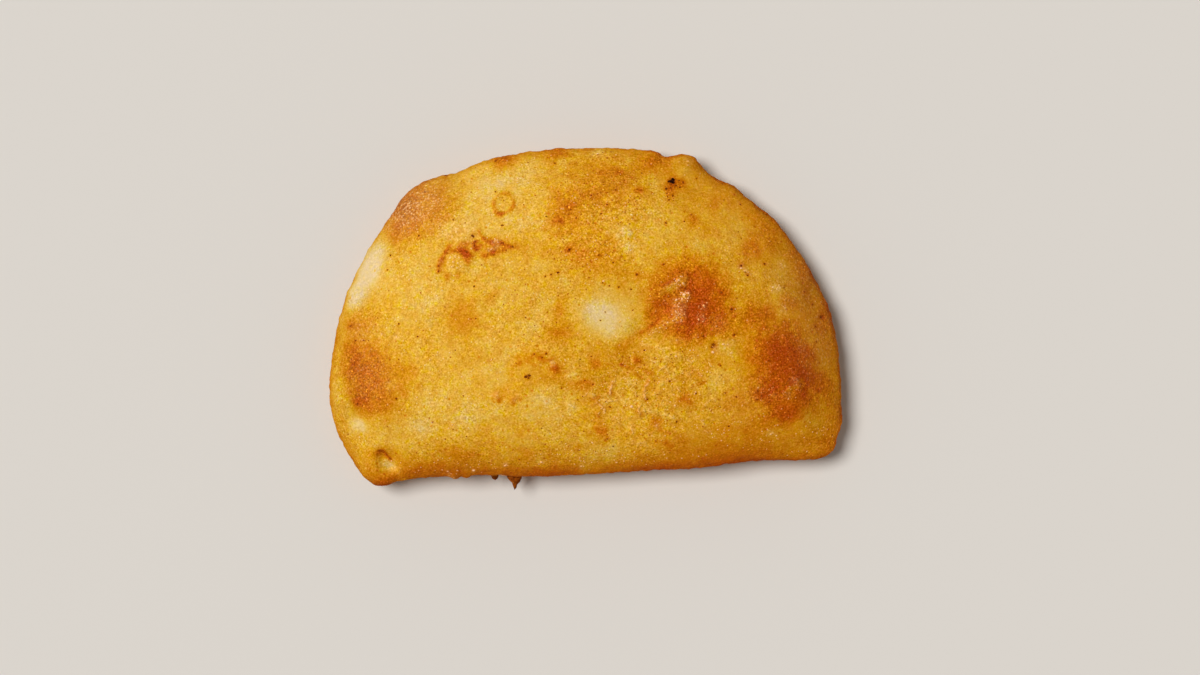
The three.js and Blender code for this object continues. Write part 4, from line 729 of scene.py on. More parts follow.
# creamy pink skin where it blistered or was rubbed thin, and painted sheen and highlights where the crust faces the
# light, as on the upper-left shoulder and the glossy lumps
milk_and_sheen = np.zeros(n_all)
for u, v, rx, ry, turn, much in [
        (686, 297, 4.5, 6, 20, 0.20), (681, 281, 4, 5, 0, 0.18), (679, 311, 8, 11, 25, 0.22), (672, 285, 9, 3.5, -32, 0.14),
        (703, 306, 3.4, 4.5, 0, 0.10), (701, 318, 4.5, 5.5, 0, 0.10), (718, 325, 8, 8, 0, 0.10), (455, 262, 9, 8, 0, 0.10),
        (663, 324, 8, 3, -35, 0.12), (650, 334, 12, 4, -38, 0.12), (458, 231, 19, 11, 0, 0.50), (414, 208, 34, 20, -40, 0.48), (438, 228, 17, 13, 0, 0.26),
        (525, 200, 60, 40, 0, 0.05), (365, 330, 16, 14, 0, 0.22), (742, 240, 28, 24, 0, 0.06), (728, 206, 24, 14, 40, 0.06), (738, 402, 24, 20, 0, 0.07), (368, 372, 22, 30, 0, 0.12), (796, 290, 30, 40, 0, 0.11),
        (812, 335, 20, 46, 0, 0.10), (820, 352, 13, 20, 0, 0.12), (470, 190, 40, 16, 0, 0.06), (596, 205, 46, 40, 0, 0.04),
        (388, 385, 10, 8, 0, 0.16), (396, 337, 3, 3, 0, 0.35), (783, 308, 5, 6, 0, 0.30), (781, 265, 5, 6, 0, 0.28), (765, 275, 6, 4, 0, 0.16),
        (473.5, 470.5, 1.8, 1.6, 0, 0.8), (505, 465, 2.6, 2.4, 0, 0.55), (502.5, 476.5, 1.8, 1.4, 0, 0.5), (447, 471, 2, 1.6, 0, 0.4), (742, 269.5, 5, 4, 0, 0.46),
        (748.5, 273, 3.5, 3, 0, 0.34), (775, 288, 7, 4.5, 0, 0.50), (773, 269, 4, 5, 0, 0.14), (625, 233, 6, 5, 0, 0.30),
        (628, 246, 6, 4, 0, 0.26), (723, 344, 6, 3, 0, 0.40), (730, 341, 4, 3, 0, 0.30), (730, 353, 5, 3, 0, 0.30),
        (715, 350, 3, 3, 0, 0.3), (793, 381, 5, 5, 20, 0.20), (787, 395, 4, 4, 0, 0.12), (770, 434, 3, 3, 0, 0.4),
        (656, 426, 3, 3, 0, 0.3), (541, 462, 3, 2, 0, 0.4), (505, 465, 2, 2, 0, 0.4), (581, 466, 2.4, 2, 0, 0.4),
        (420, 190, 8, 6, -30, 0.14), (412, 205, 9, 6, 0, 0.12), (597, 153, 7, 4, 0, 0.34), (688, 161, 4, 3, 0, 0.26),
        (391, 467, 8, 5, 20, 0.30), (357, 424, 7, 6, 0, 0.24), (606, 312, 22, 17, 0, 0.13), (366, 274, 12, 30, 24, 0.26),
        (646, 235, 3, 3, 0, 0.25), (381, 334, 3, 3, 0, 0.30), (569, 371, 5, 3, 0, 0.16), (676, 340, 8, 3, 0, 0.16)]:
    milk_and_sheen = np.maximum(milk_and_sheen, much * blob(u, v, rx, ry, turn, 2.6, 0.35, 0.25))
milk_and_sheen = np.clip(np.maximum(milk_and_sheen * (1 + 0.5 * rag), cream), 0, 1)

# painted shade and light: the right-hand end is darkened, small patches all over are darkened or lightened, and parts
# of the crust's edge are darkened, as light and shade would fall
painted_shade_and_light = smooth(752, 806, U + 0.18 * (V - 290)) * topf
painted_shade_and_light = 0.17 * painted_shade_and_light * (1 - smooth(300, 400, V)) * smooth(0.0, 5.0, d_in)
painted_shade_and_light = painted_shade_and_light - 0.08 * blob(694, 304, 42, 42, 0, 3.0, 0.5) - 0.07 * blob(712, 318, 14, 16, 0, 2.4, 0.5)
for u, v, rx, ry, much in [
        (755, 248, 10, 10, -0.09), (580, 205, 80, 52, -0.045), (806, 318, 15, 28, -0.07), (350, 408, 13, 15, 0.10),
        (385, 418, 28, 20, 0.05), (815, 420, 11, 28, 0.07), (843, 446, 8, 18, -0.16), (775, 452, 34, 9, 0.06),
        (640, 432, 32, 24, -0.06), (506, 397, 20, 22, -0.055), (540, 352, 26, 14, -0.04), (754, 355, 14, 22, -0.07),
        (684, 268, 14, 8, -0.05), (445, 330, 32, 18, 0.015), (425, 206, 26, 14, 0.04), (840, 438, 12, 22, -0.09), (806, 420, 9, 16, 0.05), (585, 248, 26, 22, -0.045), (679, 168, 10, 8, 0.08), (379, 455, 6, 4.5, 0.10),
        (600, 328, 30, 26, 0.03), (720, 210, 24, 20, -0.03), (395, 470, 12, 8, -0.03),
        (652, 331, 11, 7, 0.08), (683, 292, 7, 9, 0.08), (684, 276, 8, 5, 0.04), (790, 312, 14, 22, -0.065), (752, 244, 13, 12, -0.055),
        (807, 350, 9, 10, -0.07), (808, 286, 11, 20, 0.11), (782, 250, 8, 9, 0.07), (815, 312, 9, 12, 0.07), (822, 345, 10, 20, 0.03),
        (842, 430, 9, 16, -0.16), (838, 452, 10, 8, -0.20), (405, 208, 12, 12, 0.08), (385, 250, 12, 14, 0.035), (365, 290, 12, 24, 0.04),
        (347, 350, 10, 30, 0.045), (355, 392, 13, 30, 0.05), (375, 335, 22, 9, 0.035), (404, 410, 22, 22, 0.03), (632, 378, 16, 22, 0.045),
        (803, 385, 12, 26, 0.065), (790, 438, 30, 16, 0.055), (770, 372, 12, 14, 0.0), (568, 315, 24, 20, -0.045), (520, 365, 14, 22, -0.035),
        (612, 446, 36, 13, -0.035), (692, 265, 18, 8, -0.035), (690, 326, 8, 8, -0.04), (720, 220, 16, 16, -0.02), (384, 466, 7, 6, 0.08),
        (372, 478, 9, 8, 0.05), (450, 470, 16, 7, 0.04), (535, 157, 26, 7, 0.05), (600, 149, 26, 5, 0.05), (632, 160, 14, 9, 0.055),
        (657, 153, 9, 5, -0.07), (699, 158, 8, 6, -0.11), (756, 208, 12, 8, 0.05), (730, 188, 14, 7, 0.05), (640, 300, 16, 12, 0.05),
        (626, 352, 20, 8, 0.045), (738, 342, 9, 8, 0.05), (715, 410, 22, 12, 0.02), (436, 168, 18, 10, 0.04), (722, 382, 14, 14, -0.03),
        (492, 450, 16, 8, -0.03), (700, 446, 30, 8, 0.02), (680, 298, 8, 12, 0.12), (678, 309, 7, 8, 0.05), (652, 332, 11, 8, 0.08),
        (597, 384, 16, 18, 0.05), (842, 440, 9, 18, -0.15), (836, 453, 12, 8, -0.14), (803, 409, 8, 13, 0.05), (402, 209, 14, 14, 0.05),
        (624, 182, 16, 12, 0.04), (652, 207, 14, 12, 0.04), (674, 168, 9, 8, 0.04), (805, 297, 9, 20, 0.05), (779, 250, 8, 10, 0.05),
        (723, 347, 9, 8, 0.04), (386, 432, 20, 12, 0.035)]:
    painted_shade_and_light = painted_shade_and_light + much * blob(u, v, rx, ry, 0, 2.4, 0.4)
# painted shade along the sealed edge at the upper right, and along the left edge
painted_shade_and_light = painted_shade_and_light + 0.09 * topf * (1 - fold) * smooth(650, 700, U) * (1 - smooth(300, 340, V)) * np.exp(-(d_in / 2.4) ** 2)
painted_shade_and_light = painted_shade_and_light + 0.05 * topf * (1 - smooth(420, 480, U)) * np.exp(-(d_in / 1.6) ** 2)
painted_shade_and_light = painted_shade_and_light + 0.07 * topf * (1 - fold) * np.exp(-(d_in / 5.0) ** 2) * (1 - smooth(400, 520, U))

# char: darker stains round the largest specks
char = np.zeros(n_all)
for u, v, rr, much in [(671, 181.4, 3.2, 0.55), (666.5, 188.5, 1.8, 0.25), (527.8, 376, 2.6, 0.40), (472.4, 236, 1.8, 0.35),
                       (713, 345.4, 2.4, 0.35), (494, 476, 1.8, 0.3), (676, 185, 1.6, 0.2), (820.4, 316.8, 1.7, 0.35),
                       (731.2, 309.2, 1.6, 0.35), (741, 266, 1.5, 0.15)]:
    char = np.maximum(char, much * blob(u, v, rr, rr, 0, 2.6, 0.08))

# grain: how gritty the crust is; the pale strip and hollow are smooth
grain = 0.85 + 0.25 * cloud(P, 8.0, 81, 2)
for u, v, rx, ry, much in [(600, 200, 55, 50, 0.35), (590, 250, 40, 30, 0.25), (660, 385, 65, 45, 0.22), (370, 370, 30, 35, 0.25),
                           (420, 210, 35, 28, 0.25), (700, 300, 45, 45, 0.10), (680, 295, 10, 24, 0.2), (560, 340, 40, 30, 0.15)]:
    grain = grain + much * blob(u, v, rx, ry)
for u, v, rx, ry, turn, much in [(366, 272, 15, 34, 24, 0.55), (606, 314, 30, 24, 0, 0.45), (790, 280, 34, 40, 0, 0.22),
                                 (815, 350, 22, 60, 0, 0.35), (740, 225, 40, 34, 0, 0.22), (357, 425, 12, 10, 0, 0.3),
                                 (700, 180, 30, 20, 0, 0.25), (780, 440, 60, 25, 0, 0.25)]:
    grain = grain - much * blob(u, v, rx, ry, turn, 2.6, 0.5)
grain = grain + 0.56 * smooth(1.25, 1.95, toast) * (1 - fold)
grain = np.clip(np.where(is_top, grain, 0.8), 0.15, 1.8)
grain = grain * (1 - 0.25 * np.exp(-(d_in / 1.5) ** 2))

# ---------------------------------------------------------------- relief, mm
relief = 0.16 * noise(P, 14.0, 101) + 0.13 * noise(P, 6.0, 102) + 0.036 * noise(P, 2.6, 103)
rough = np.clip(grain, 0.2, 1.4)
gd, gown = grits(P, 1.15, 7)
relief = relief + rough * (0.016 * noise(P, 1.25, 104) + 0.024 * np.exp(-(gd / 0.38) ** 2) * (gown > 0.45))
# fine raised wrinkles right of and below the middle
wr = np.clip(blob(655, 392, 62, 46, 0, 3.0) + 0.5 * blob(585, 400, 50, 40), 0, 1)
bent_p = P + np.stack([0.9 * noise(P, 3.0, 115), 0.9 * noise(P, 3.0, 116), 0 * x], 1)
ridge = (1 - np.abs(noise(bent_p * (1.0, 0.7, 1.0), 3.0, 111))) ** 6 - 0.25
ridge = ridge * np.clip(0.6 + 1.2 * noise(P, 4.0, 112), 0, 1.4)
relief = relief + wr * 0.30 * ridge
# the glossy lumpy ridge in the brown ring, its sharp right side, and the crease under it
cliff = bank([(683, 270), (689, 280), (692, 292), (688, 303), (684, 314), (688, 326)], 2.6, 11.0, 0.7)
relief = relief + cliff * (0.40 + 0.14 * noise(P, 3.0, 120)) * (1 + 0.4 * noise(P, 1.6, 121))
relief = relief + 0.16 * blob(686, 297, 5, 6, 20, 2.6, 0.3) + 0.12 * blob(681, 281, 4, 5, 0, 2.4, 0.3)
relief = relief + blob(679, 310, 8, 10, 20, 2.6, 0.4) * (0.11 + 0.09 * noise(P, 1.1, 122))
relief = relief - 0.16 * blob(668, 300, 8, 7, -30, 2.4, 0.4) + 0.14 * line([(660, 290), (668, 286), (676, 282)], 2.4)
relief = relief + 0.10 * line([(646, 338), (656, 331), (665, 324), (674, 317)], 3.6, 2.0, 0.2)
# a shallow valley that runs down from the pale hollow
relief = relief - 0.42 * line([(642, 292), (634, 345), (614, 400)], 17.0, 2.0, 1.0)
relief = relief + 0.07 * rag * blob(704, 306, 14, 26, 0, 3.0, 0.5)
# blisters and rings
relief = relief + 0.17 * loop(503, 204, 9.5, 2.2) - 0.07 * blob(503, 204, 7, 7, 0, 3, 0.2)
relief = relief + 0.20 * loop(789, 389, 9.5, 2.4, 0.3) - 0.06 * blob(789, 389, 6, 7, 0, 3, 0.2)
relief = relief + 0.22 * line([(783, 394), (789, 388), (796, 379)], 2.2) - 0.14 * line([(779, 391), (785, 386), (792, 377)], 1.6)
relief = relief + 0.10 * rag * blob(785, 375, 26, 44, 0, 4.0, 0.5)
relief = relief + 0.42 * blob(455, 262, 11, 9.5, 0, 3.4, 0.2) + lift
relief = relief + 0.12 * rag * np.clip(blob(475, 250, 36, 12, 0, 3.0, 0.5), 0, 1)
relief = relief + 0.22 * blob(625, 234, 6, 5, 0, 2.4, 0.4) + 0.12 * blob(628, 247, 6, 4, 0, 2.4, 0.4)
relief = relief + 0.18 * blob(742, 270, 7, 6, 0, 2.4, 0.4) + 0.14 * blob(775, 290, 8, 5, 0, 2.4, 0.4)
for u, v, rr, h in [(555, 367, 3.8, 0.36), (637, 361, 3.8, 0.30), (497, 397, 3.6, 0.24), (512, 399, 3.6, 0.24),
                    (713, 345, 3.2, -0.34), (741, 266, 2.0, -0.30), (747.5, 275.5, 2.0, -0.26), (671, 182, 2.4, 0.16),
                    (527, 376, 2.4, 0.14), (503, 163, 5, 0.22), (486, 316, 3, 0.14), (569, 370, 4, -0.12), (823, 317, 2, -0.2)]:
    relief = relief + h * blob(u, v, rr, rr, 0, 2, 0.15)
# the corner pit: a dark hollow, a pale floor and a flaked lip
relief = relief - 0.80 * blob(381.5, 454.5, 7.5, 5.0, 35, 2.0, 0.15) - 0.50 * blob(391, 466, 9, 6.5, 25, 2.0, 0.15)
relief = relief + 0.36 * line([(384, 450), (390, 455), (396, 462), (400, 468)], 2.0)
# the lower left corner runs out a little, and a lip of crust hangs from the fold
relief = relief + 0.75 * blob(382, 484, 11, 7, 0, 2.4, 0.1) + 0.9 * line([(455, 478), (461, 480), (467, 478)], 4.0, 2.2, 0.1)
# the sealed edge: a shallow seam where the two sheets of dough were pressed together
seam_line = np.exp(-((z - seam_height(theta) + 0.25 + 0.35 * noise(P, 9.0, 141)) / 0.42) ** 2) * (d_in < 2.5) * (1 - fold)
relief = relief - 0.26 * seam_line
edge = np.exp(-(d_in / 1.6) ** 2)
relief = relief + edge * (0.20 * noise(P, 4.0, 142) + 0.20 * noise(P, 1.9, 143) + 0.13 * noise(P, 1.0, 144))
# the flat patch underneath stays on the table, with only shallow pores
sit = under * (1 - smooth(0.0, 1.6, z))
relief = relief * (1 - sit) + sit * np.minimum(0.0, relief) * 0.5
toast = toast + 0.12 * seam_line
toast = np.clip(toast, 0.25, 2.95)

P2 = P + N * relief[:, None]
P2[:, 2] = np.maximum(P2[:, 2], 0.0)
X = np.stack([(P2[:, 0] - MID_X) * TRUE, (P2[:, 1] - MID_Y) * TRUE, P2[:, 2]], 1) * 0.001


def piece_mesh(name, verts, polys):
    me = bpy.data.meshes.new(name)
    me.from_pydata(verts.tolist() if hasattr(verts, "tolist") else verts, [], polys)
    me.update()
    ob = bpy.data.objects.new(name, me)
    scene.collection.objects.link(ob)
    return ob


crust = piece_mesh("fried_crust", X, faces)
me = crust.data
me.polygons.foreach_set("use_smooth", [True] * len(me.polygons))
uv = me.uv_layers.new(name="OFBake")
uv.data.foreach_set("uv", np.array([c for f in uvs for p in f for c in p], np.float32))
rim = np.exp(-(d_in / 1.3) ** 2)
for name, values in (("toast", toast), ("grain", grain), ("char", char), ("milk_and_sheen", milk_and_sheen), ("painted_shade_and_light", painted_shade_and_light),
                     ("wrinkled", wr * topf), ("rim", rim)):
    at = me.attributes.new(name, "FLOAT", "POINT")
    at.data.foreach_set("value", values.astype(np.float32))


# ---------------------------------------------------------------- materials
class Nodes:
    def __init__(self, name):
        self.mat = bpy.data.materials.new(name)
        self.mat.use_nodes = True
        self.tree = self.mat.node_tree
        self.tree.nodes.clear()
        self.out = self.add("ShaderNodeOutputMaterial")
        self.bsdf = self.add("ShaderNodeBsdfPrincipled")
        self.tree.links.new(self.bsdf.outputs["BSDF"], self.out.inputs["Surface"])

    def add(self, kind, inputs=None, **props):
        n = self.tree.nodes.new(kind)
        for k, v in props.items():
            setattr(n, k, v)
        for k, v in (inputs or {}).items():
            self.put(n.inputs[k], v)
        return n

    def put(self, socket, v):
        if hasattr(v, "is_output"):
            self.tree.links.new(v, socket)
        else:
            socket.default_value = v

    def math(self, op, a, b=0.0, c=0.0, clamp=False):
        n = self.add("ShaderNodeMath", operation=op, use_clamp=clamp)
        for s, v in zip(n.inputs, (a, b, c)):
            self.put(s, v)
        return n.outputs[0]

    def span(self, v, a, b, c=0.0, d=1.0):
        n = self.add("ShaderNodeMapRange", {"Value": v, "From Min": a, "From Max": b, "To Min": c, "To Max": d},
                     interpolation_type="SMOOTHSTEP")
        return n.outputs[0]

    def blend(self, fac, a, b, mode="MIX"):
        n = self.add("ShaderNodeMix", data_type="RGBA", blend_type=mode, clamp_factor=True)
        for k, v in ((0, fac), (6, a), (7, b)):
            self.put(n.inputs[k], v)
        return n.outputs[2]

    def attribute(self, name):
        return self.add("ShaderNodeAttribute", attribute_name=name).outputs["Fac"]

    def browned(self, t):
        """The crust's colour at a browning."""
        n = self.add("ShaderNodeValToRGB", {"Fac": self.math("DIVIDE", self.math("SUBTRACT", t, 0.2), 2.8, clamp=True)})
        els = n.color_ramp.elements
        while len(els) > 1:
            els.remove(els[-1])
        for k, (at, c) in enumerate(RAMP):
            e = els[0] if k == 0 else els.new((at - 0.2) / 2.8)
            e.position = (at - 0.2) / 2.8
            e.color = (*c, 1.0)
        return n.outputs["Color"]


# browning, from pale dough to dark red-brown (linear colours)
RAMP = [
    (0.25, (0.765, 0.580, 0.290)), (0.45, (0.755, 0.535, 0.190)), (0.70, (0.745, 0.457, 0.080)),
    (0.90, (0.735, 0.396, 0.036)), (1.10, (0.692, 0.323, 0.0175)), (1.30, (0.655, 0.266, 0.0092)),
    (1.50, (0.618, 0.218, 0.0045)), (1.75, (0.575, 0.171, 0.0024)), (2.05, (0.527, 0.127, 0.0018)),
    (2.40, (0.476, 0.090, 0.0015)), (2.80, (0.424, 0.061, 0.0012))]


def crust_material(name):
    m = Nodes(name)
    place = m.add("ShaderNodeTexCoord").outputs["Object"]
    # everything small sits on a bent copy of the place, so no dot is round and no cell is straight
    bend = m.add("ShaderNodeTexNoise", {"Vector": place, "Scale": 1300.0, "Detail": 1.0, "Roughness": 0.6})
    bent = m.add("ShaderNodeVectorMath", {0: bend.outputs["Color"], 1: (0.5, 0.5, 0.5)}, operation="SUBTRACT").outputs[0]
    bent = m.add("ShaderNodeVectorMath", {0: bent, 1: (0.0006, 0.0006, 0.0006), 2: place}, operation="MULTIPLY_ADD").outputs[0]
    fine = m.add("ShaderNodeTexNoise", {"Vector": place, "Scale": 2300.0, "Detail": 1.0, "Roughness": 0.5}).outputs["Fac"]
    mid = m.add("ShaderNodeTexNoise", {"Vector": place, "Scale": 1000.0, "Detail": 0.6, "Roughness": 0.5}).outputs["Fac"]
    soft = m.add("ShaderNodeTexNoise", {"Vector": place, "Scale": 430.0, "Detail": 1.0, "Roughness": 0.5}).outputs["Fac"]
    # the grains of the corn meal
    meal = m.add("ShaderNodeTexVoronoi", {"Vector": bent, "Scale": 1450.0, "Randomness": 1.0, "Smoothness": 0.3},
                 feature="SMOOTH_F1")
    own = m.add("ShaderNodeSeparateColor", {"Color": meal.outputs["Color"]}).outputs
    dome = m.span(meal.outputs["Distance"], 0.0, 0.62, 1.0, 0.0)
    # painted glints: cells of grains whose colour is made paler and brighter, standing in for highlights that catch the
    # light
    painted_glint_cells = m.add("ShaderNodeTexVoronoi", {"Vector": bent, "Scale": 1250.0, "Randomness": 1.0}, feature="F1")
    painted_glint_own = m.add("ShaderNodeSeparateColor", {"Color": painted_glint_cells.outputs["Color"]}).outputs
    painted_glint = m.math("MULTIPLY", m.span(painted_glint_own[2], 0.45, 1.0), m.span(painted_glint_cells.outputs["Distance"], 0.34, 0.08))
    # small browned dots, and rarer dark specks
    dots = m.add("ShaderNodeTexVoronoi", {"Vector": bent, "Scale": 620.0, "Randomness": 1.0}, feature="F1")
    dot_own = m.add("ShaderNodeSeparateColor", {"Color": dots.outputs["Color"]}).outputs
    dot = m.math("MULTIPLY", m.span(dots.outputs["Distance"], 0.26, 0.12), m.span(dot_own[0], 0.64, 0.86))
    dark = m.add("ShaderNodeTexVoronoi", {"Vector": bent, "Scale": 290.0, "Randomness": 1.0}, feature="F1")
    dark_own = m.add("ShaderNodeSeparateColor", {"Color": dark.outputs["Color"]}).outputs
    size = m.span(dark_own[1], 0.0, 1.0, 0.035, 0.085)
    speck = m.math("SUBTRACT", 1.0, m.math("DIVIDE", dark.outputs["Distance"], size), clamp=True)
    speck = m.math("MULTIPLY", m.math("MULTIPLY", speck, 3.0, clamp=True), m.span(dark_own[0], 0.62, 0.76))
    # short worm-like wrinkles: raised by the bump, with a painted highlight that lightens and pales the colour along
    # them
    crawl = m.add("ShaderNodeTexNoise", {"Vector": bent, "Scale": 560.0, "Detail": 0.0}).outputs["Fac"]
    crawl = m.math("SUBTRACT", 1.0, m.math("MULTIPLY", m.math("ABSOLUTE", m.math("SUBTRACT", crawl, 0.5)), 13.0), clamp=True)
    patchy = m.add("ShaderNodeTexNoise", {"Vector": place, "Scale": 330.0, "Detail": 0.0}).outputs["Fac"]
    worm = m.math("MULTIPLY", m.math("MULTIPLY", crawl, m.span(patchy, 0.46, 0.58)), m.attribute("wrinkled"))

    grain = m.attribute("grain")
    # where it is well browned the grain changes less in colour
    brown = m.span(m.attribute("toast"), 1.15, 1.9)
    calm = m.math("MULTIPLY_ADD", brown, -0.65, 1.0)
    # bright grains are paler too, and dark ones browner; the grain tops are painted lighter and the hollows between
    # them darker, a painted light and shade
    n = m.math("MULTIPLY_ADD", m.math("SUBTRACT", own[1], 0.5), 0.16, m.math("SUBTRACT", fine, 0.5))
    n = m.math("MULTIPLY_ADD", m.math("SUBTRACT", dome, 0.55), 0.14, n)
    n = m.math("MULTIPLY", m.math("MULTIPLY", n, 0.98), grain)
    n = m.math("MULTIPLY_ADD", worm, 0.10, n)
    # its creaminess wanders too, more widely than its brightness
    haze = m.add("ShaderNodeTexNoise", {"Vector": place, "Scale": 1550.0, "Detail": 0.0}).outputs["Fac"]
    wan = m.math("MULTIPLY", m.math("SUBTRACT", haze, 0.5), 0.9)
    wan = m.math("MULTIPLY_ADD", m.math("SUBTRACT", mid, 0.5), 3.0, wan)
    wan = m.math("MULTIPLY_ADD", m.math("SUBTRACT", soft, 0.5), 2.0, wan)
    wan = m.math("MULTIPLY", m.math("MULTIPLY", wan, grain), calm)
    tint = m.add("ShaderNodeVectorMath", {0: wan, 1: (0.0, 0.05, 1.0), 2: (1.0, 1.0, 1.0)}, operation="MULTIPLY_ADD").outputs[0]
    tint = m.add("ShaderNodeVectorMath", {0: n, 1: (1.0, 1.15, 1.25), 2: tint}, operation="MULTIPLY_ADD").outputs[0]
    tint = m.add("ShaderNodeVectorMath", {0: tint, 1: (0.1, 0.1, 0.1)}, operation="MAXIMUM").outputs[0]
    hue = m.math("MULTIPLY", m.math("SUBTRACT", own[0], 0.5), 0.10)
    hue = m.math("MULTIPLY_ADD", m.math("SUBTRACT", mid, 0.5), 0.55, hue)
    hue = m.math("MULTIPLY_ADD", m.math("SUBTRACT", soft, 0.5), 0.65, hue)
    t = m.math("MULTIPLY_ADD", hue, grain, m.attribute("toast"))
    t = m.math("MULTIPLY_ADD", n, -0.22, t)
    t = m.math("MULTIPLY_ADD", dot, 0.58, t)
    t = m.math("MULTIPLY_ADD", worm, -0.16, t)
    # painted glints: the glinting grains are paled
    painted_glint_strength = m.math("MULTIPLY", painted_glint, grain)
    t = m.math("MULTIPLY_ADD", m.math("MULTIPLY", painted_glint_strength, calm), -0.55, t)
    col = m.add("ShaderNodeVectorMath", {0: m.browned(t), 1: tint}, operation="MULTIPLY").outputs[0]
    # painted sheen: brighter grains get more blue and darker ones less, as a white shine would add
    painted_sheen = m.math("MULTIPLY_ADD", m.math("MAXIMUM", n, 0.0), 1.6, n)
    painted_sheen = m.math("MULTIPLY", painted_sheen, calm)
    col = m.add("ShaderNodeVectorMath", {0: painted_sheen, 1: (0.0, 0.0, 0.055), 2: col}, operation="MULTIPLY_ADD").outputs[0]
    # painted glints: in brown crust the glinting grains are made brighter in the same hue
    painted_glint_gain = m.math("MULTIPLY_ADD", m.math("MULTIPLY", painted_glint_strength, brown), 0.70, 1.0)
    col = m.add("ShaderNodeVectorMath", {0: col, 1: painted_glint_gain}, operation="MULTIPLY").outputs[0]
    col = m.add("ShaderNodeVectorMath", {0: col, 1: (0.0006, 0.0006, 0.0006)}, operation="MAXIMUM").outputs[0]
    # scaled down, and in places up, by the painted shade and light
    col = m.add("ShaderNodeVectorMath", {0: col}, operation="SCALE")
    m.put(col.inputs["Scale"], m.math("SUBTRACT", 1.0, m.attribute("painted_shade_and_light")))
    col = col.outputs[0]
    # painted glints: mixed toward a pale amber
    col = m.blend(m.math("MULTIPLY", m.math("MULTIPLY", painted_glint_strength, calm), 0.28, clamp=True), col, (1.0, 0.60, 0.13, 1))
    # creamy pink skin and painted sheen, mixed in grain by grain with a painted sparkle
    painted_sparkle = m.math("MULTIPLY_ADD", m.math("MULTIPLY", own[2], dome), 2.1, 0.16)
    col = m.blend(m.math("MULTIPLY", m.attribute("milk_and_sheen"), painted_sparkle, clamp=True), col, (1.0, 0.62, 0.27, 1))
    col = m.blend(m.math("MULTIPLY", speck, 0.85), col, (0.15, 0.030, 0.001, 1))
    col = m.blend(m.attribute("char"), col, (0.06, 0.012, 0.001, 1))
    m.put(m.bsdf.inputs["Base Color"], col)
    rough = m.math("MULTIPLY_ADD", m.math("SUBTRACT", mid, 0.5), 0.4, 0.46)
    rough = m.math("MULTIPLY_ADD", painted_glint, -0.14, rough)
    rough = m.math("MULTIPLY_ADD", m.attribute("rim"), 0.25, rough)
    m.put(m.bsdf.inputs["Roughness"], rough)
    m.bsdf.inputs["Specular IOR Level"].default_value = 0.012
    height = m.math("MULTIPLY", dome, m.math("MULTIPLY_ADD", own[1], 0.9, 0.35))
    height = m.math("MULTIPLY_ADD", mid, 0.5, height)
    height = m.math("MULTIPLY_ADD", fine, 0.5, height)
    height = m.math("MULTIPLY_ADD", dot, -0.35, height)
    height = m.math("MULTIPLY_ADD", worm, 1.3, m.math("MULTIPLY", height, grain))
    bump = m.add("ShaderNodeBump", {"Height": height, "Strength": 1.0, "Distance": 0.00008})
    m.put(m.bsdf.inputs["Normal"], bump.outputs[0])
    return m.mat


def grain_material(name):
    """Oily grains and raised threads of skin: as brown as the crust where "tone" is 0, pinkish cream where it is 1; the
    cream is a painted highlight.
    """
    m = Nodes(name)
    place = m.add("ShaderNodeTexCoord").outputs["Object"]
    fine = m.add("ShaderNodeTexNoise", {"Vector": place, "Scale": 1700.0, "Detail": 1.0, "Roughness": 0.6}).outputs["Fac"]
    tone = m.math("MULTIPLY_ADD", m.math("SUBTRACT", fine, 0.5), 0.5, m.attribute("tone"), clamp=True)
    # painted highlight: the lumps are lighter and bluer than the crust under them
    col = m.add("ShaderNodeVectorMath", {0: m.browned(m.math("SUBTRACT", m.attribute("toast"), 0.15)), 1: (1.12, 1.15, 1.5)},
                operation="MULTIPLY").outputs[0]
    # the painted highlight: creamy on golden crust, amber on the darkest
    cream = m.blend(m.span(m.attribute("toast"), 1.75, 2.5), (1.0, 0.61, 0.36, 1), (1.0, 0.48, 0.17, 1))
    col = m.blend(tone, col, cream)
    m.put(m.bsdf.inputs["Base Color"], col)
    m.put(m.bsdf.inputs["Roughness"], m.math("MULTIPLY_ADD", fine, -0.3, 0.55))
    m.bsdf.inputs["Specular IOR Level"].default_value = 0.03
    return m.mat


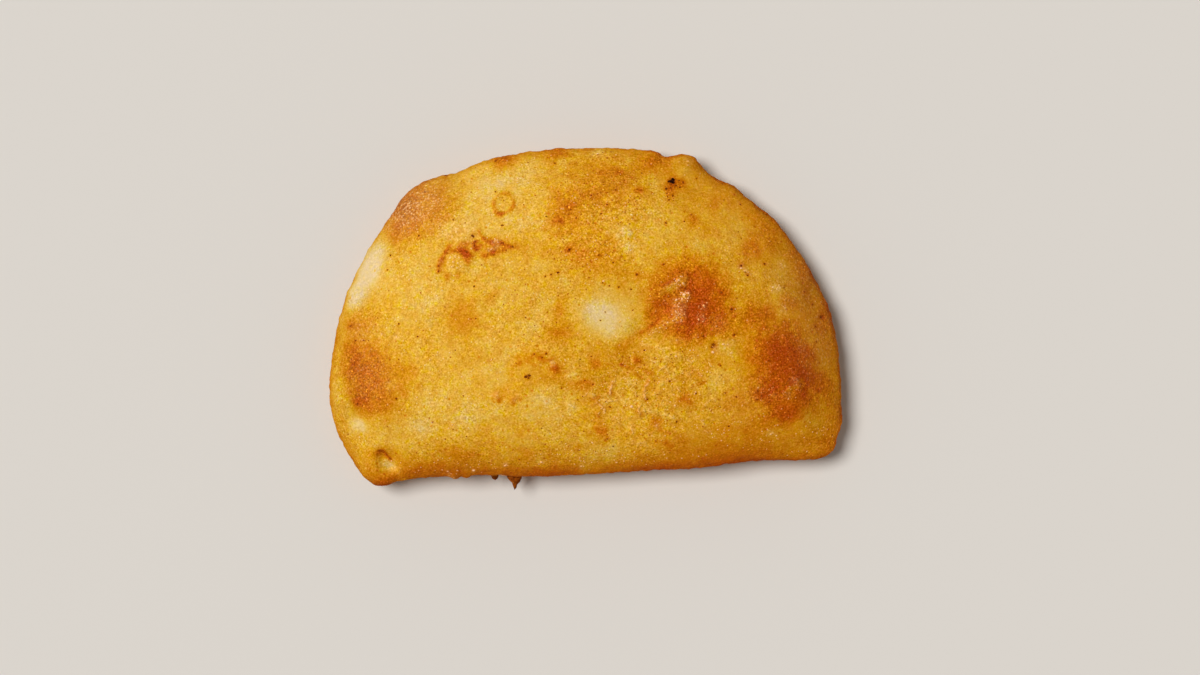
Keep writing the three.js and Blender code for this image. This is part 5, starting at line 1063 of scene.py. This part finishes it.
def crumb_material(name):
    """Crumbs and specks: light red-brown where "burnt" is -1, dark where it is 0, black where it is 1."""
    m = Nodes(name)
    place = m.add("ShaderNodeTexCoord").outputs["Object"]
    fine = m.add("ShaderNodeTexNoise", {"Vector": place, "Scale": 1500.0, "Detail": 2.0, "Roughness": 0.6}).outputs["Fac"]
    spots = m.add("ShaderNodeTexVoronoi", {"Vector": place, "Scale": 1300.0, "Randomness": 1.0}, feature="F1")
    own = m.add("ShaderNodeSeparateColor", {"Color": spots.outputs["Color"]}).outputs
    burnt = m.attribute("burnt")
    col = m.blend(m.span(fine, 0.32, 0.66), (0.150, 0.026, 0.001, 1), (0.36, 0.085, 0.004, 1))
    # painted glints: bright orange spots mixed into the colour
    bright = m.math("MULTIPLY", m.span(own[0], 0.55, 0.95), m.span(spots.outputs["Distance"], 0.38, 0.12))
    col = m.blend(m.math("MULTIPLY", bright, 0.6), col, (0.80, 0.30, 0.03, 1))
    col = m.blend(m.math("MULTIPLY", burnt, -1.0, clamp=True), col, (0.50, 0.135, 0.005, 1))
    col = m.blend(burnt, col, m.blend(m.span(fine, 0.4, 0.7), (0.010, 0.002, 0.001, 1), (0.050, 0.009, 0.002, 1)))
    m.put(m.bsdf.inputs["Base Color"], col)
    m.put(m.bsdf.inputs["Roughness"], m.math("MULTIPLY_ADD", fine, -0.3, 0.72))
    m.bsdf.inputs["Specular IOR Level"].default_value = 0.02
    bump = m.add("ShaderNodeBump", {"Height": fine, "Strength": 1.0, "Distance": 0.00012})
    m.put(m.bsdf.inputs["Normal"], bump.outputs[0])
    return m.mat


crust.data.materials.append(crust_material("fried_crust"))
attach(crust, "root")
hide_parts("empanada")

# ---------------------------------------------------------------- specks and crumbs
top_P2, top_N = P2[:n_top], N[:n_top]
top_U, top_V, top_in = U[:n_top], V[:n_top], d_in[:n_top]


def on_crust(u, v):
    """The place, facing and browning of the crust that shows at a pixel."""
    q = (top_U - u) ** 2 + (top_V - v) ** 2
    near = np.argpartition(q, 4)[:4]
    w_ = 1 / (np.sqrt(q[near]) + 0.1)
    w_ /= w_.sum()
    face = top_N[near].mean(0)
    return (top_P2[near] * w_[:, None]).sum(0), face / np.linalg.norm(face), float((toast[near] * w_).sum())


def in_picture(du, dv):
    """A step along the picture, as a direction in mm."""
    return np.array([TURN[0] * du + TURN[1] * dv, TURN[1] * du - TURN[0] * dv, 0.0])


class Lumps:
    """Small closed lumps that sit in the crust, gathered in one mesh, each with a value and a browning."""

    def __init__(self, seed):
        self.rng = np.random.RandomState(seed)
        self.verts, self.polys, self.values = [], [], []

    def rings(self, rings, value, brown=1.0):
        """A closed lump from rings of points, lowest first, each with the same number of points."""
        base, count = len(self.verts), len(rings[0])
        for ring in rings:
            self.verts.extend(ring)
            self.values.extend([(value, brown)] * count)
        self.polys.append(tuple(base + k for k in reversed(range(count))))
        for j in range(len(rings) - 1):
            for k in range(count):
                p, q = base + j * count + k, base + j * count + (k + 1) % count
                self.polys.append((p, q, q + count, p + count))
        top = base + (len(rings) - 1) * count
        self.polys.append(tuple(top + k for k in range(count)))

    def knob(self, u, v, long_, wide_, turn, value, high=0.34, sides=9):
        at, face, brown = on_crust(u, v)
        ang = math.radians(turn)
        ax = in_picture(math.cos(ang), math.sin(ang))
        ax -= face * (ax @ face)
        ax /= np.linalg.norm(ax)
        ay = np.cross(face, ax)
        long_mm, wide_mm = long_ * MM_PER_PX, wide_ * MM_PER_PX
        jag = 1 + 0.22 * self.rng.uniform(-1, 1, sides)
        high = high * math.sqrt(long_mm * wide_mm) * (0.8 + 0.5 * self.rng.rand())
        rings = []
        for size, up in ((0.94, -0.16), (1.0, 0.25 * high), (0.72, 0.82 * high), (0.34, high)):
            ring = []
            for k in range(sides):
                an = (k + 0.3 * jag[k]) / sides * 2 * math.pi
                ring.append(at + (ax * math.cos(an) * long_mm + ay * math.sin(an) * wide_mm) * size * jag[k] + face * up)
            rings.append(ring)
        self.rings(rings, value, brown)

    def thread(self, points, wide_, value, high=0.26):
        """A thin raised wrinkle along a line of pixels, tapering at both ends."""
        path = [np.array(points[0], float)]
        for p0, p1 in zip(points[:-1], points[1:]):
            p0, p1 = np.array(p0, float), np.array(p1, float)
            steps = max(2, int(round(np.linalg.norm(p1 - p0) / 1.3)))
            path += [p0 + (p1 - p0) * k / steps for k in range(1, steps + 1)]
        path = np.array(path)
        path[1:-1] = (path[:-2] + 2 * path[1:-1] + path[2:]) / 4
        path[1:-1] += self.rng.uniform(-0.45, 0.45, (len(path) - 2, 2))
        start = 0
        while start < len(path) - 2:  # it comes in short pieces
            end = min(len(path), start + self.rng.randint(4, 7))
            self.strand(path[start:end], wide_ * self.rng.uniform(0.75, 1.15), value * self.rng.uniform(0.5, 1.2), high)
            start = end - self.rng.randint(0, 2)

    def strand(self, path, wide_, value, high):
        if len(path) < 3:
            return
        rings = []
        for k in range(len(path)):
            step = path[min(k + 1, len(path) - 1)] - path[max(k - 1, 0)]
            at, face, brown = on_crust(*path[k])
            along = in_picture(*step)
            along -= face * (along @ face)
            along /= np.linalg.norm(along)
            side = np.cross(face, along)
            taper = math.sin(math.pi * (k + 0.7) / (len(path) + 0.4)) ** 0.5
            w_ = wide_ * MM_PER_PX * taper * (1 + 0.34 * self.rng.uniform(-1, 1))
            up = high * w_ * (1 + 0.2 * self.rng.uniform(-1, 1))
            rings.append([at + side * w_ * c + face * (h_ * up + e_) for c, h_, e_ in
                          ((-1.0, 0.0, -0.10), (0.0, 0.0, -0.14), (1.0, 0.0, -0.10), (0.92, 0.35, 0), (0.45, 0.88, 0),
                           (-0.05, 1.0, 0), (-0.5, 0.84, 0), (-0.94, 0.3, 0))])
        self.rings(rings, value, brown + 0.13)

    def build(self, name, value_name, material):
        v_ = np.array(self.verts)
        ob = piece_mesh(name, np.stack([(v_[:, 0] - MID_X) * TRUE, (v_[:, 1] - MID_Y) * TRUE, v_[:, 2]], 1) * 0.001, self.polys)
        ob.data.polygons.foreach_set("use_smooth", [True] * len(ob.data.polygons))
        for k, called in enumerate((value_name, "toast")):
            at_ = ob.data.attributes.new(called, "FLOAT", "POINT")
            at_.data.foreach_set("value", np.array([q[k] for q in self.values], np.float32))
        ob.data.materials.append(material)
        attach(ob, "root")
        return ob


dark_bits = Lumps(5)
for u, v, long_, wide_, turn, burnt in SPECKS:
    dark_bits.knob(u, v, long_, wide_, -turn, burnt)
# fine browned specks, scattered
scatter = np.random.RandomState(29)
done = 0
while done < 120:
    u, v = scatter.uniform(332, 842), scatter.uniform(150, 476)
    k = np.argmin((top_U - u) ** 2 + (top_V - v) ** 2)
    if top_in[k] < 0.8 or math.hypot(top_U[k] - u, top_V[k] - v) > 3 or toast[k] < 0.62 or toast[k] > 1.9:
        continue
    size = scatter.uniform(0.5, 0.8)
    dark_bits.knob(u, v, size * scatter.uniform(1.0, 1.5), size, scatter.uniform(0, 180), scatter.uniform(-0.8, -0.15), high=0.25, sides=7)
    done += 1

for cu, cv, ru, rv, many in [(598, 190, 46, 38, 100), (585, 254, 44, 20, 50), (690, 300, 42, 44, 50), (672, 189, 10, 12, 10), (368, 374, 26, 36, 34),
                             (425, 215, 34, 32, 36), (655, 392, 66, 42, 60), (780, 375, 34, 48, 30), (550, 300, 60, 40, 26), (590, 445, 110, 16, 40)]:
    for _ in range(many):
        an, reach_ = scatter.uniform(0, 2 * math.pi), math.sqrt(scatter.rand())
        u, v = cu + ru * reach_ * math.cos(an), cv + rv * reach_ * math.sin(an)
        k = np.argmin((top_U - u) ** 2 + (top_V - v) ** 2)
        size = scatter.uniform(0.45, 0.80)
        if top_in[k] > 0.8 and math.hypot(top_U[k] - u, top_V[k] - v) < 3 and 0.8 < toast[k] < 2.1:
            dark_bits.knob(u, v, size * scatter.uniform(1.0, 1.6), size, scatter.uniform(0, 180), scatter.uniform(-1.0, -0.45), high=0.2, sides=7)

# crumbs of burnt crust stuck to the side under the fold; their dark colour is partly painted shade, for they sit in the
# fold's shade
CRUMBS = [  # outline (px), middle, how high it sits, half as thick (mm), burnt
    ([(506, 471), (512, 470), (519, 471), (522, 474.5), (521.4, 478.4), (519.4, 481.8), (516.8, 484.4), (515.8, 487.4), (514.0, 489.6),
      (512.6, 486.6), (511.6, 483.0), (509.2, 481.0), (507.2, 478.2), (505.2, 474.6)], (513.6, 477.6), 7.5, 0.80, 0.22),
    ([(491.4, 472), (494.6, 471), (497.8, 472.4), (498.4, 475.6), (497.4, 478.4), (494.8, 480.0), (492.0, 479.0), (490.6, 475.6)],
     (494.6, 476.0), 7.8, 0.50, 0.50),
]
for outline, (mu, mv), up, half, burnt in CRUMBS:
    turn_ccw = outline[::-1]
    m0 = np.array([*place_of(mu, mv, up), up])
    rings = []
    for size, rise in ((0.30, -0.96), (0.66, -0.72), (0.92, -0.32), (1.0, 0.06), (0.90, 0.46), (0.62, 0.80), (0.28, 0.98)):
        ring = []
        for k, (u, v) in enumerate(turn_ccw):
            p = np.array([*place_of(u, v, up), up])
            q = m0 + (p - m0) * size * (1 + 0.06 * dark_bits.rng.uniform(-1, 1))
            q[2] = up + half * rise * (1 + 0.22 * dark_bits.rng.uniform(-1, 1))
            ring.append(q)
        rings.append(ring)
    dark_bits.rings(rings, burnt)
crumbs = dark_bits.build("crumbs", "burnt", crumb_material("crumb_crust"))

# ---------------------------------------------------------------- oily grains and raised threads
# tone: 0 is amber, 1 is pinkish cream, a painted highlight
GRAINS = [  # u, v, half length, half width, turn, tone
    # the glossy ridge
    (684.0, 295.0, 1.72, 1.29, 20, 0.85), (688.2, 293.8, 1.20, 0.86, 60, 0.77), (682.0, 299.0, 1.12, 0.86, 0, 0.68), (676.0, 300.2, 1.63, 1.03, -30, 0.85),
    (680.6, 293.0, 0.95, 0.77, 0, 0.59), (687.6, 298.2, 1.12, 0.77, 70, 0.59), (674.2, 304.6, 0.81, 0.59, 0, 0.51), (678.0, 307.0, 1.05, 0.80, 0, 0.62),
    (681.6, 310.4, 0.95, 0.76, 0, 0.50), (675.2, 311.4, 1.10, 0.80, 30, 0.60), (679.2, 314.2, 1.02, 0.78, 0, 0.52), (671.6, 314.8, 0.81, 0.67, 0, 0.51),
    (683.8, 314.2, 0.95, 0.77, 0, 0.59), (676.2, 318.2, 0.98, 0.78, 0, 0.52), (680.6, 320.0, 0.98, 0.78, 30, 0.52), (672.4, 320.6, 0.95, 0.77, 0, 0.59),
    (684.4, 306.2, 0.74, 0.59, 0, 0.51), (679.0, 303.4, 0.74, 0.59, 0, 0.51), (677.6, 280.0, 1.29, 0.95, 20, 0.68), (682.0, 283.0, 1.20, 0.86, 60, 0.68),
    (674.4, 283.6, 0.81, 0.59, 0, 0.42), (680.2, 277.0, 0.74, 0.59, 0, 0.42), (670.0, 287.2, 0.89, 0.52, -30, 0.34), (676.6, 287.6, 0.74, 0.59, 0, 0.42),
    # right of it
    (703.0, 305.6, 1.30, 1.00, 70, 0.95), (706.2, 302.6, 0.85, 0.70, 0, 0.65), (700.6, 309.0, 0.85, 0.70, 0, 0.60), (704.2, 310.0, 0.67, 0.52, 0, 0.35),
    (698.2, 314.0, 0.74, 0.59, 0, 0.35), (702.8, 315.8, 0.95, 0.72, 0, 0.70), (698.0, 319.4, 1.15, 0.86, 70, 0.85), (702.4, 321.0, 0.95, 0.74, 0, 0.70),
    (697.0, 324.0, 0.74, 0.59, 0, 0.40), (706.0, 318.4, 0.67, 0.52, 0, 0.35), (712.0, 312.6, 0.67, 0.52, 0, 0.25), (716.0, 326.0, 0.84, 0.66, 0, 0.50),
    # the row down to its lower left
    (667.6, 322.6, 1.12, 0.77, -30, 0.59), (663.2, 325.0, 0.81, 0.67, 0, 0.51), (659.4, 327.6, 0.89, 0.67, 0, 0.51), (655.2, 328.6, 0.74, 0.59, 0, 0.42),
    (652.8, 332.0, 0.89, 0.67, -30, 0.51), (648.4, 334.4, 0.81, 0.67, 0, 0.42), (645.6, 338.2, 0.89, 0.67, 0, 0.42), (641.8, 341.0, 0.81, 0.67, 0, 0.42),
    (666.0, 328.4, 0.74, 0.59, 0, 0.42), (658.6, 332.0, 0.74, 0.59, 0, 0.34), (651.0, 338.0, 0.74, 0.59, 0, 0.34), (661.6, 321.4, 0.67, 0.52, 0, 0.42),
    # left of it
    (664.2, 300.6, 0.81, 0.59, 0, 0.34), (659.6, 305.4, 0.67, 0.52, 0, 0.26), (650.0, 296.0, 0.74, 0.59, 0, 0.26), (655.4, 311.0, 0.67, 0.52, 0, 0.26),
    (668.4, 296.0, 0.67, 0.52, 0, 0.26), (661.0, 282.0, 0.74, 0.59, 0, 0.26), (667.8, 276.6, 0.74, 0.52, 0, 0.26), (653.0, 301.6, 0.67, 0.52, 0, 0.17),
    # bubbles on the burst blister, and pink skin beside it
    (450.3, 257.4, 0.89, 0.74, 0, 0.51), (455.0, 256.4, 0.74, 0.59, 0, 0.42), (459.2, 258.0, 0.81, 0.67, 0, 0.51), (448.2, 262.4, 0.74, 0.59, 0, 0.42),
    (453.0, 262.2, 0.81, 0.67, 0, 0.51), (457.6, 263.2, 0.89, 0.74, 0, 0.51), (461.0, 262.2, 0.67, 0.52, 0, 0.34), (452.0, 267.0, 0.81, 0.67, 0, 0.42),
    (457.0, 267.8, 0.81, 0.67, 0, 0.42), (460.6, 266.4, 0.67, 0.52, 0, 0.34), (495.0, 239.4, 1.33, 0.81, 50, 0.51), (497.6, 242.6, 1.04, 0.74, 30, 0.42),
    (490.6, 249.4, 1.18, 0.59, -10, 0.51), (487.0, 237.6, 0.81, 0.59, 60, 0.42), (471.0, 248.8, 0.81, 0.59, 0, 0.51), (449.8, 239.4, 0.81, 0.59, 0, 0.42),
    # pale spots on the right shoulder
    (740.6, 268.4, 1.29, 0.95, 0, 0.59), (743.8, 270.8, 0.89, 0.74, 0, 0.51), (747.6, 272.2, 0.81, 0.67, 0, 0.42), (738.6, 271.6, 0.74, 0.59, 0, 0.42),
    (772.4, 287.2, 1.18, 0.89, 0, 0.51), (776.2, 289.0, 1.04, 0.81, 0, 0.51), (778.6, 285.2, 0.89, 0.74, 0, 0.42), (771.0, 291.0, 0.81, 0.67, 0, 0.42),
    (783.0, 307.0, 0.81, 0.67, 0, 0.34), (780.6, 263.6, 0.81, 0.67, 0, 0.34),
    # the blister in the right patch, and the crust round it
    (793.0, 380.0, 0.89, 0.67, 60, 0.42), (795.6, 384.4, 0.81, 0.59, 80, 0.34), (788.4, 386.4, 0.74, 0.59, 0, 0.26), (784.6, 392.2, 0.81, 0.59, 0, 0.34),
    (770.2, 394.6, 0.89, 0.67, 0, 0.42), (757.6, 387.6, 0.89, 0.67, 0, 0.42), (763.0, 389.0, 0.74, 0.59, 0, 0.34), (760.2, 400.4, 0.74, 0.59, 0, 0.34),
    # along the fold
    (473.4, 470.6, 1.46, 1.12, 0, 0.85), (505.0, 465.2, 1.46, 1.12, 0, 0.59), (541.0, 462.0, 1.55, 1.03, 0, 0.59), (538.4, 463.8, 0.81, 0.67, 0, 0.51),
    (502.4, 476.4, 1.29, 0.86, 0, 0.68), (447.4, 471.2, 1.18, 0.81, 0, 0.51), (450.6, 473.2, 0.89, 0.67, 0, 0.42), (581.0, 466.0, 1.04, 0.81, 0, 0.51),
    (656.0, 426.0, 1.04, 0.74, 0, 0.42), (770.0, 434.0, 1.18, 0.81, 0, 0.51), (391.0, 461.0, 0.95, 0.69, 0, 0.59), (712.0, 352.0, 1.46, 1.12, 20, 0.68),
    (690.0, 350.4, 1.03, 0.77, 0, 0.68), (675.2, 356.0, 1.33, 0.89, 10, 0.42), (631.0, 406.4, 1.72, 1.38, 0, 0.68), (674.4, 405.4, 1.12, 0.86, 0, 0.59),
    (603.4, 424.0, 0.96, 0.74, 0, 0.42), (722.6, 343.8, 1.55, 1.03, 0, 0.59), (727.6, 344.8, 0.89, 0.67, 0, 0.51), (730.0, 353.0, 1.18, 0.74, 0, 0.42),
    (592.0, 442.0, 1.33, 0.89, 60, 0.51), (676.4, 340.0, 0.89, 0.67, 0, 0.42), (396.0, 337.0, 0.89, 0.74, 0, 0.51), (381.0, 334.0, 0.89, 0.67, 0, 0.51),
    (416.0, 321.0, 0.81, 0.67, 0, 0.42), (603.0, 281.0, 1.20, 0.86, 0, 0.59), (597.0, 153.4, 1.38, 0.95, 0, 0.59), (688.0, 161.0, 0.89, 0.67, 0, 0.42),
]
THREADS = [  # points, half width (px), tone
    ([(608.6, 395), (610.0, 389), (613.2, 383)], 0.96, 0.28), ([(600, 399.4), (606, 400.6), (612, 401.2), (617, 400.6)], 0.96, 0.22),
    ([(598.5, 404), (602, 408), (605, 411)], 1.16, 0.22), ([(644.4, 398), (643.4, 392), (645, 386), (648.4, 383.4)], 1.06, 0.25),
    ([(639.8, 414.5), (637.4, 410), (641, 403)], 0.96, 0.20), ([(642, 410.4), (648, 410.8), (654, 412.6)], 1.21, 0.17),
    ([(664, 414), (670, 416), (675.6, 419)], 1.16, 0.17), ([(657.5, 372), (663.5, 366.4), (668, 372)], 0.81, 0.15),
    ([(671, 351.8), (676, 353.6)], 0.91, 0.25), ([(630.6, 427), (632.5, 433.5)], 0.86, 0.20), ([(695, 417.6), (699.6, 416)], 0.91, 0.25),
    ([(704, 405), (710, 400)], 0.81, 0.20), ([(712, 398), (716.5, 402)], 0.86, 0.20), ([(700, 420), (704.5, 424)], 0.86, 0.20),
    ([(704, 430), (708, 433)], 0.91, 0.20), ([(596.4, 414.5), (600.5, 410.5)], 0.86, 0.20), ([(660, 383), (665.5, 381), (670, 378.6)], 0.75, 0.15),
    ([(655, 346), (662, 350)], 0.81, 0.17), ([(641, 343), (648, 345.5)], 0.86, 0.20), ([(698, 372), (702, 376)], 0.81, 0.17),
    ([(622, 401), (626.5, 404)], 0.75, 0.17), ([(636, 443.5), (645, 441.8)], 0.81, 0.15), ([(615.5, 392), (620, 396.5)], 0.75, 0.15),
    ([(568, 404), (574, 407.5)], 0.81, 0.15), ([(583, 396.5), (588.5, 391)], 0.81, 0.15), ([(684, 372), (690.5, 374.5)], 0.75, 0.15),
    ([(626.5, 381.5), (631.5, 386)], 0.75, 0.15), ([(700.5, 402.5), (707, 407)], 0.75, 0.15), ([(587, 396), (593, 397)], 0.81, 0.17),
    ([(619, 424), (616.5, 417)], 0.75, 0.15), ([(652, 395.5), (658.5, 392)], 0.75, 0.15), ([(664, 397), (668.5, 401.5)], 0.75, 0.15),
    ([(676, 386), (680, 392)], 0.75, 0.15), ([(634, 391), (636, 397)], 0.75, 0.15), ([(620, 408), (624, 414)], 0.75, 0.15),
    ([(686, 360), (692, 363)], 0.75, 0.15), ([(708, 362), (712, 368)], 0.75, 0.15), ([(650, 360), (656, 362.5)], 0.75, 0.15),
]
SOWN = [  # scattered: middle, reach, how many, tone from and to
    (690, 300, 38, 40, 70, 0.0, 0.18), (684, 297, 6, 6, 20, 0.40, 0.9), (678, 313, 7, 10, 30, 0.15, 0.6), (679, 281, 6, 5, 10, 0.3, 0.7), (702, 312, 8, 14, 7, 0.25, 0.5), (778, 362, 26, 36, 80, 0.0, 0.16),
    (790, 390, 9, 10, 10, 0.1, 0.4), (768, 393, 9, 10, 8, 0.2, 0.4), (368, 375, 22, 34, 50, 0.0, 0.18), (590, 220, 52, 50, 90, 0.15, 0.5),
    (660, 392, 66, 46, 110, 0.15, 0.5), (770, 436, 62, 20, 60, 0.15, 0.55), (418, 208, 32, 24, 60, 0.15, 0.5), (620, 458, 90, 10, 50, 0.15, 0.6),
    (450, 466, 60, 9, 30, 0.15, 0.6), (585, 310, 250, 160, 320, 0.10, 0.45)]
oily = Lumps(17)
for u, v, long_, wide_, turn, tone in GRAINS:
    oily.knob(u, v, long_, wide_, turn, tone, high=0.55)
for points, wide_, tone in THREADS:
    oily.thread(points, wide_, tone)
for cu, cv, ru, rv, many, lo, hi in SOWN:
    done = 0
    while done < many:
        an, far = scatter.uniform(0, 2 * math.pi), math.sqrt(scatter.rand())
        u, v = cu + ru * far * math.cos(an), cv + rv * far * math.sin(an)
        k = np.argmin((top_U - u) ** 2 + (top_V - v) ** 2)
        done += 1
        if top_in[k] < 0.5 or math.hypot(top_U[k] - u, top_V[k] - v) > 3 or grain[k] < 0.5:
            continue
        size = scatter.uniform(0.42, 0.78)
        oily.knob(u, v, size * scatter.uniform(1.0, 1.5), size, scatter.uniform(0, 180), scatter.uniform(lo, hi), high=0.5, sides=7)
grains = oily.build("oily_grains", "tone", grain_material("grain_crust"))

# ---------------------------------------------------------------- floor, light, camera
floor_me = bpy.data.meshes.new("floor")
floor_me.from_pydata([(-8, -8, 0), (8, -8, 0), (8, 8, 0), (-8, 8, 0)], [], [(0, 1, 2, 3)])
floor = bpy.data.objects.new("floor", floor_me)
scene.collection.objects.link(floor)
fm = Nodes("floor")
fm.put(fm.bsdf.inputs["Base Color"], (0.66, 0.63, 0.59, 1))
fm.put(fm.bsdf.inputs["Roughness"], 0.75)
floor.data.materials.append(fm.mat)

world = bpy.data.worlds.new("studio")
scene.world = world
world.use_nodes = True
wt = world.node_tree
wt.nodes.clear()
wo = wt.nodes.new("ShaderNodeOutputWorld")
bg = wt.nodes.new("ShaderNodeBackground")
tc = wt.nodes.new("ShaderNodeTexCoord")
sep = wt.nodes.new("ShaderNodeSeparateXYZ")
mr = wt.nodes.new("ShaderNodeMapRange")
mr.interpolation_type = "SMOOTHSTEP"
mr.inputs["From Min"].default_value = 0.0
mr.inputs["From Max"].default_value = 0.75
cm = wt.nodes.new("ShaderNodeMix")
cm.data_type = "RGBA"
cm.inputs[6].default_value = (0.66, 0.63, 0.59, 1)
cm.inputs[7].default_value = (0.14, 0.14, 0.145, 1)
wt.links.new(tc.outputs["Generated"], sep.inputs[0])
wt.links.new(sep.outputs["Z"], mr.inputs["Value"])
wt.links.new(mr.outputs[0], cm.inputs[0])
wt.links.new(cm.outputs[2], bg.inputs["Color"])
wt.links.new(bg.outputs[0], wo.inputs["Surface"])


def sun(name, azimuth, elevation, strength, angle, colour=(1, 1, 1)):
    """azimuth: where the light comes from, degrees from +X to +Y."""
    d = bpy.data.lights.new(name, "SUN")
    d.energy, d.angle, d.color = strength, math.radians(angle), colour
    o = bpy.data.objects.new(name, d)
    from mathutils import Vector
    a_, e_ = math.radians(azimuth), math.radians(elevation)
    to = Vector((math.cos(a_) * math.cos(e_), math.sin(a_) * math.cos(e_), math.sin(e_)))
    o.rotation_mode = "QUATERNION"
    o.rotation_quaternion = to.to_track_quat("Z", "Y")
    scene.collection.objects.link(o)
    return o


sun("key", 156, 64, 2.87, 26, (1.0, 0.985, 0.96))

cam_data = bpy.data.cameras.new("camera")
cam_data.lens, cam_data.sensor_width = 100.0, 36.0
cam_data.clip_start, cam_data.clip_end = 0.01, 50.0
cam = bpy.data.objects.new("camera", cam_data)
scene.collection.objects.link(cam)
ROLL = math.radians(2.8359)   # the fold rises to the right in the picture
PX_PER_MM = 1000 / 252.944
right = np.array([math.cos(ROLL), -math.sin(ROLL)])
up = np.array([math.sin(ROLL), math.cos(ROLL)])
# the picture's middle, seen from the outline's own middle (pixel 581.1, 311.3)
off = right * (600 - 581.098) / PX_PER_MM - up * (337.5 - 311.323) / PX_PER_MM
off = off - right * 0.12
spot = ((off[0] - MID_X) * TRUE, (off[1] - MID_Y) * TRUE)
far = 100.0 / 36.0 * 1200 / (PX_PER_MM / TRUE) + 7.5
cam.location = (spot[0] * 0.001, spot[1] * 0.001, far * 0.001)
cam.rotation_euler = (0.0, 0.0, -ROLL)
scene.camera = cam

scene.view_settings.view_transform = "Standard"
scene.view_settings.look = "None"
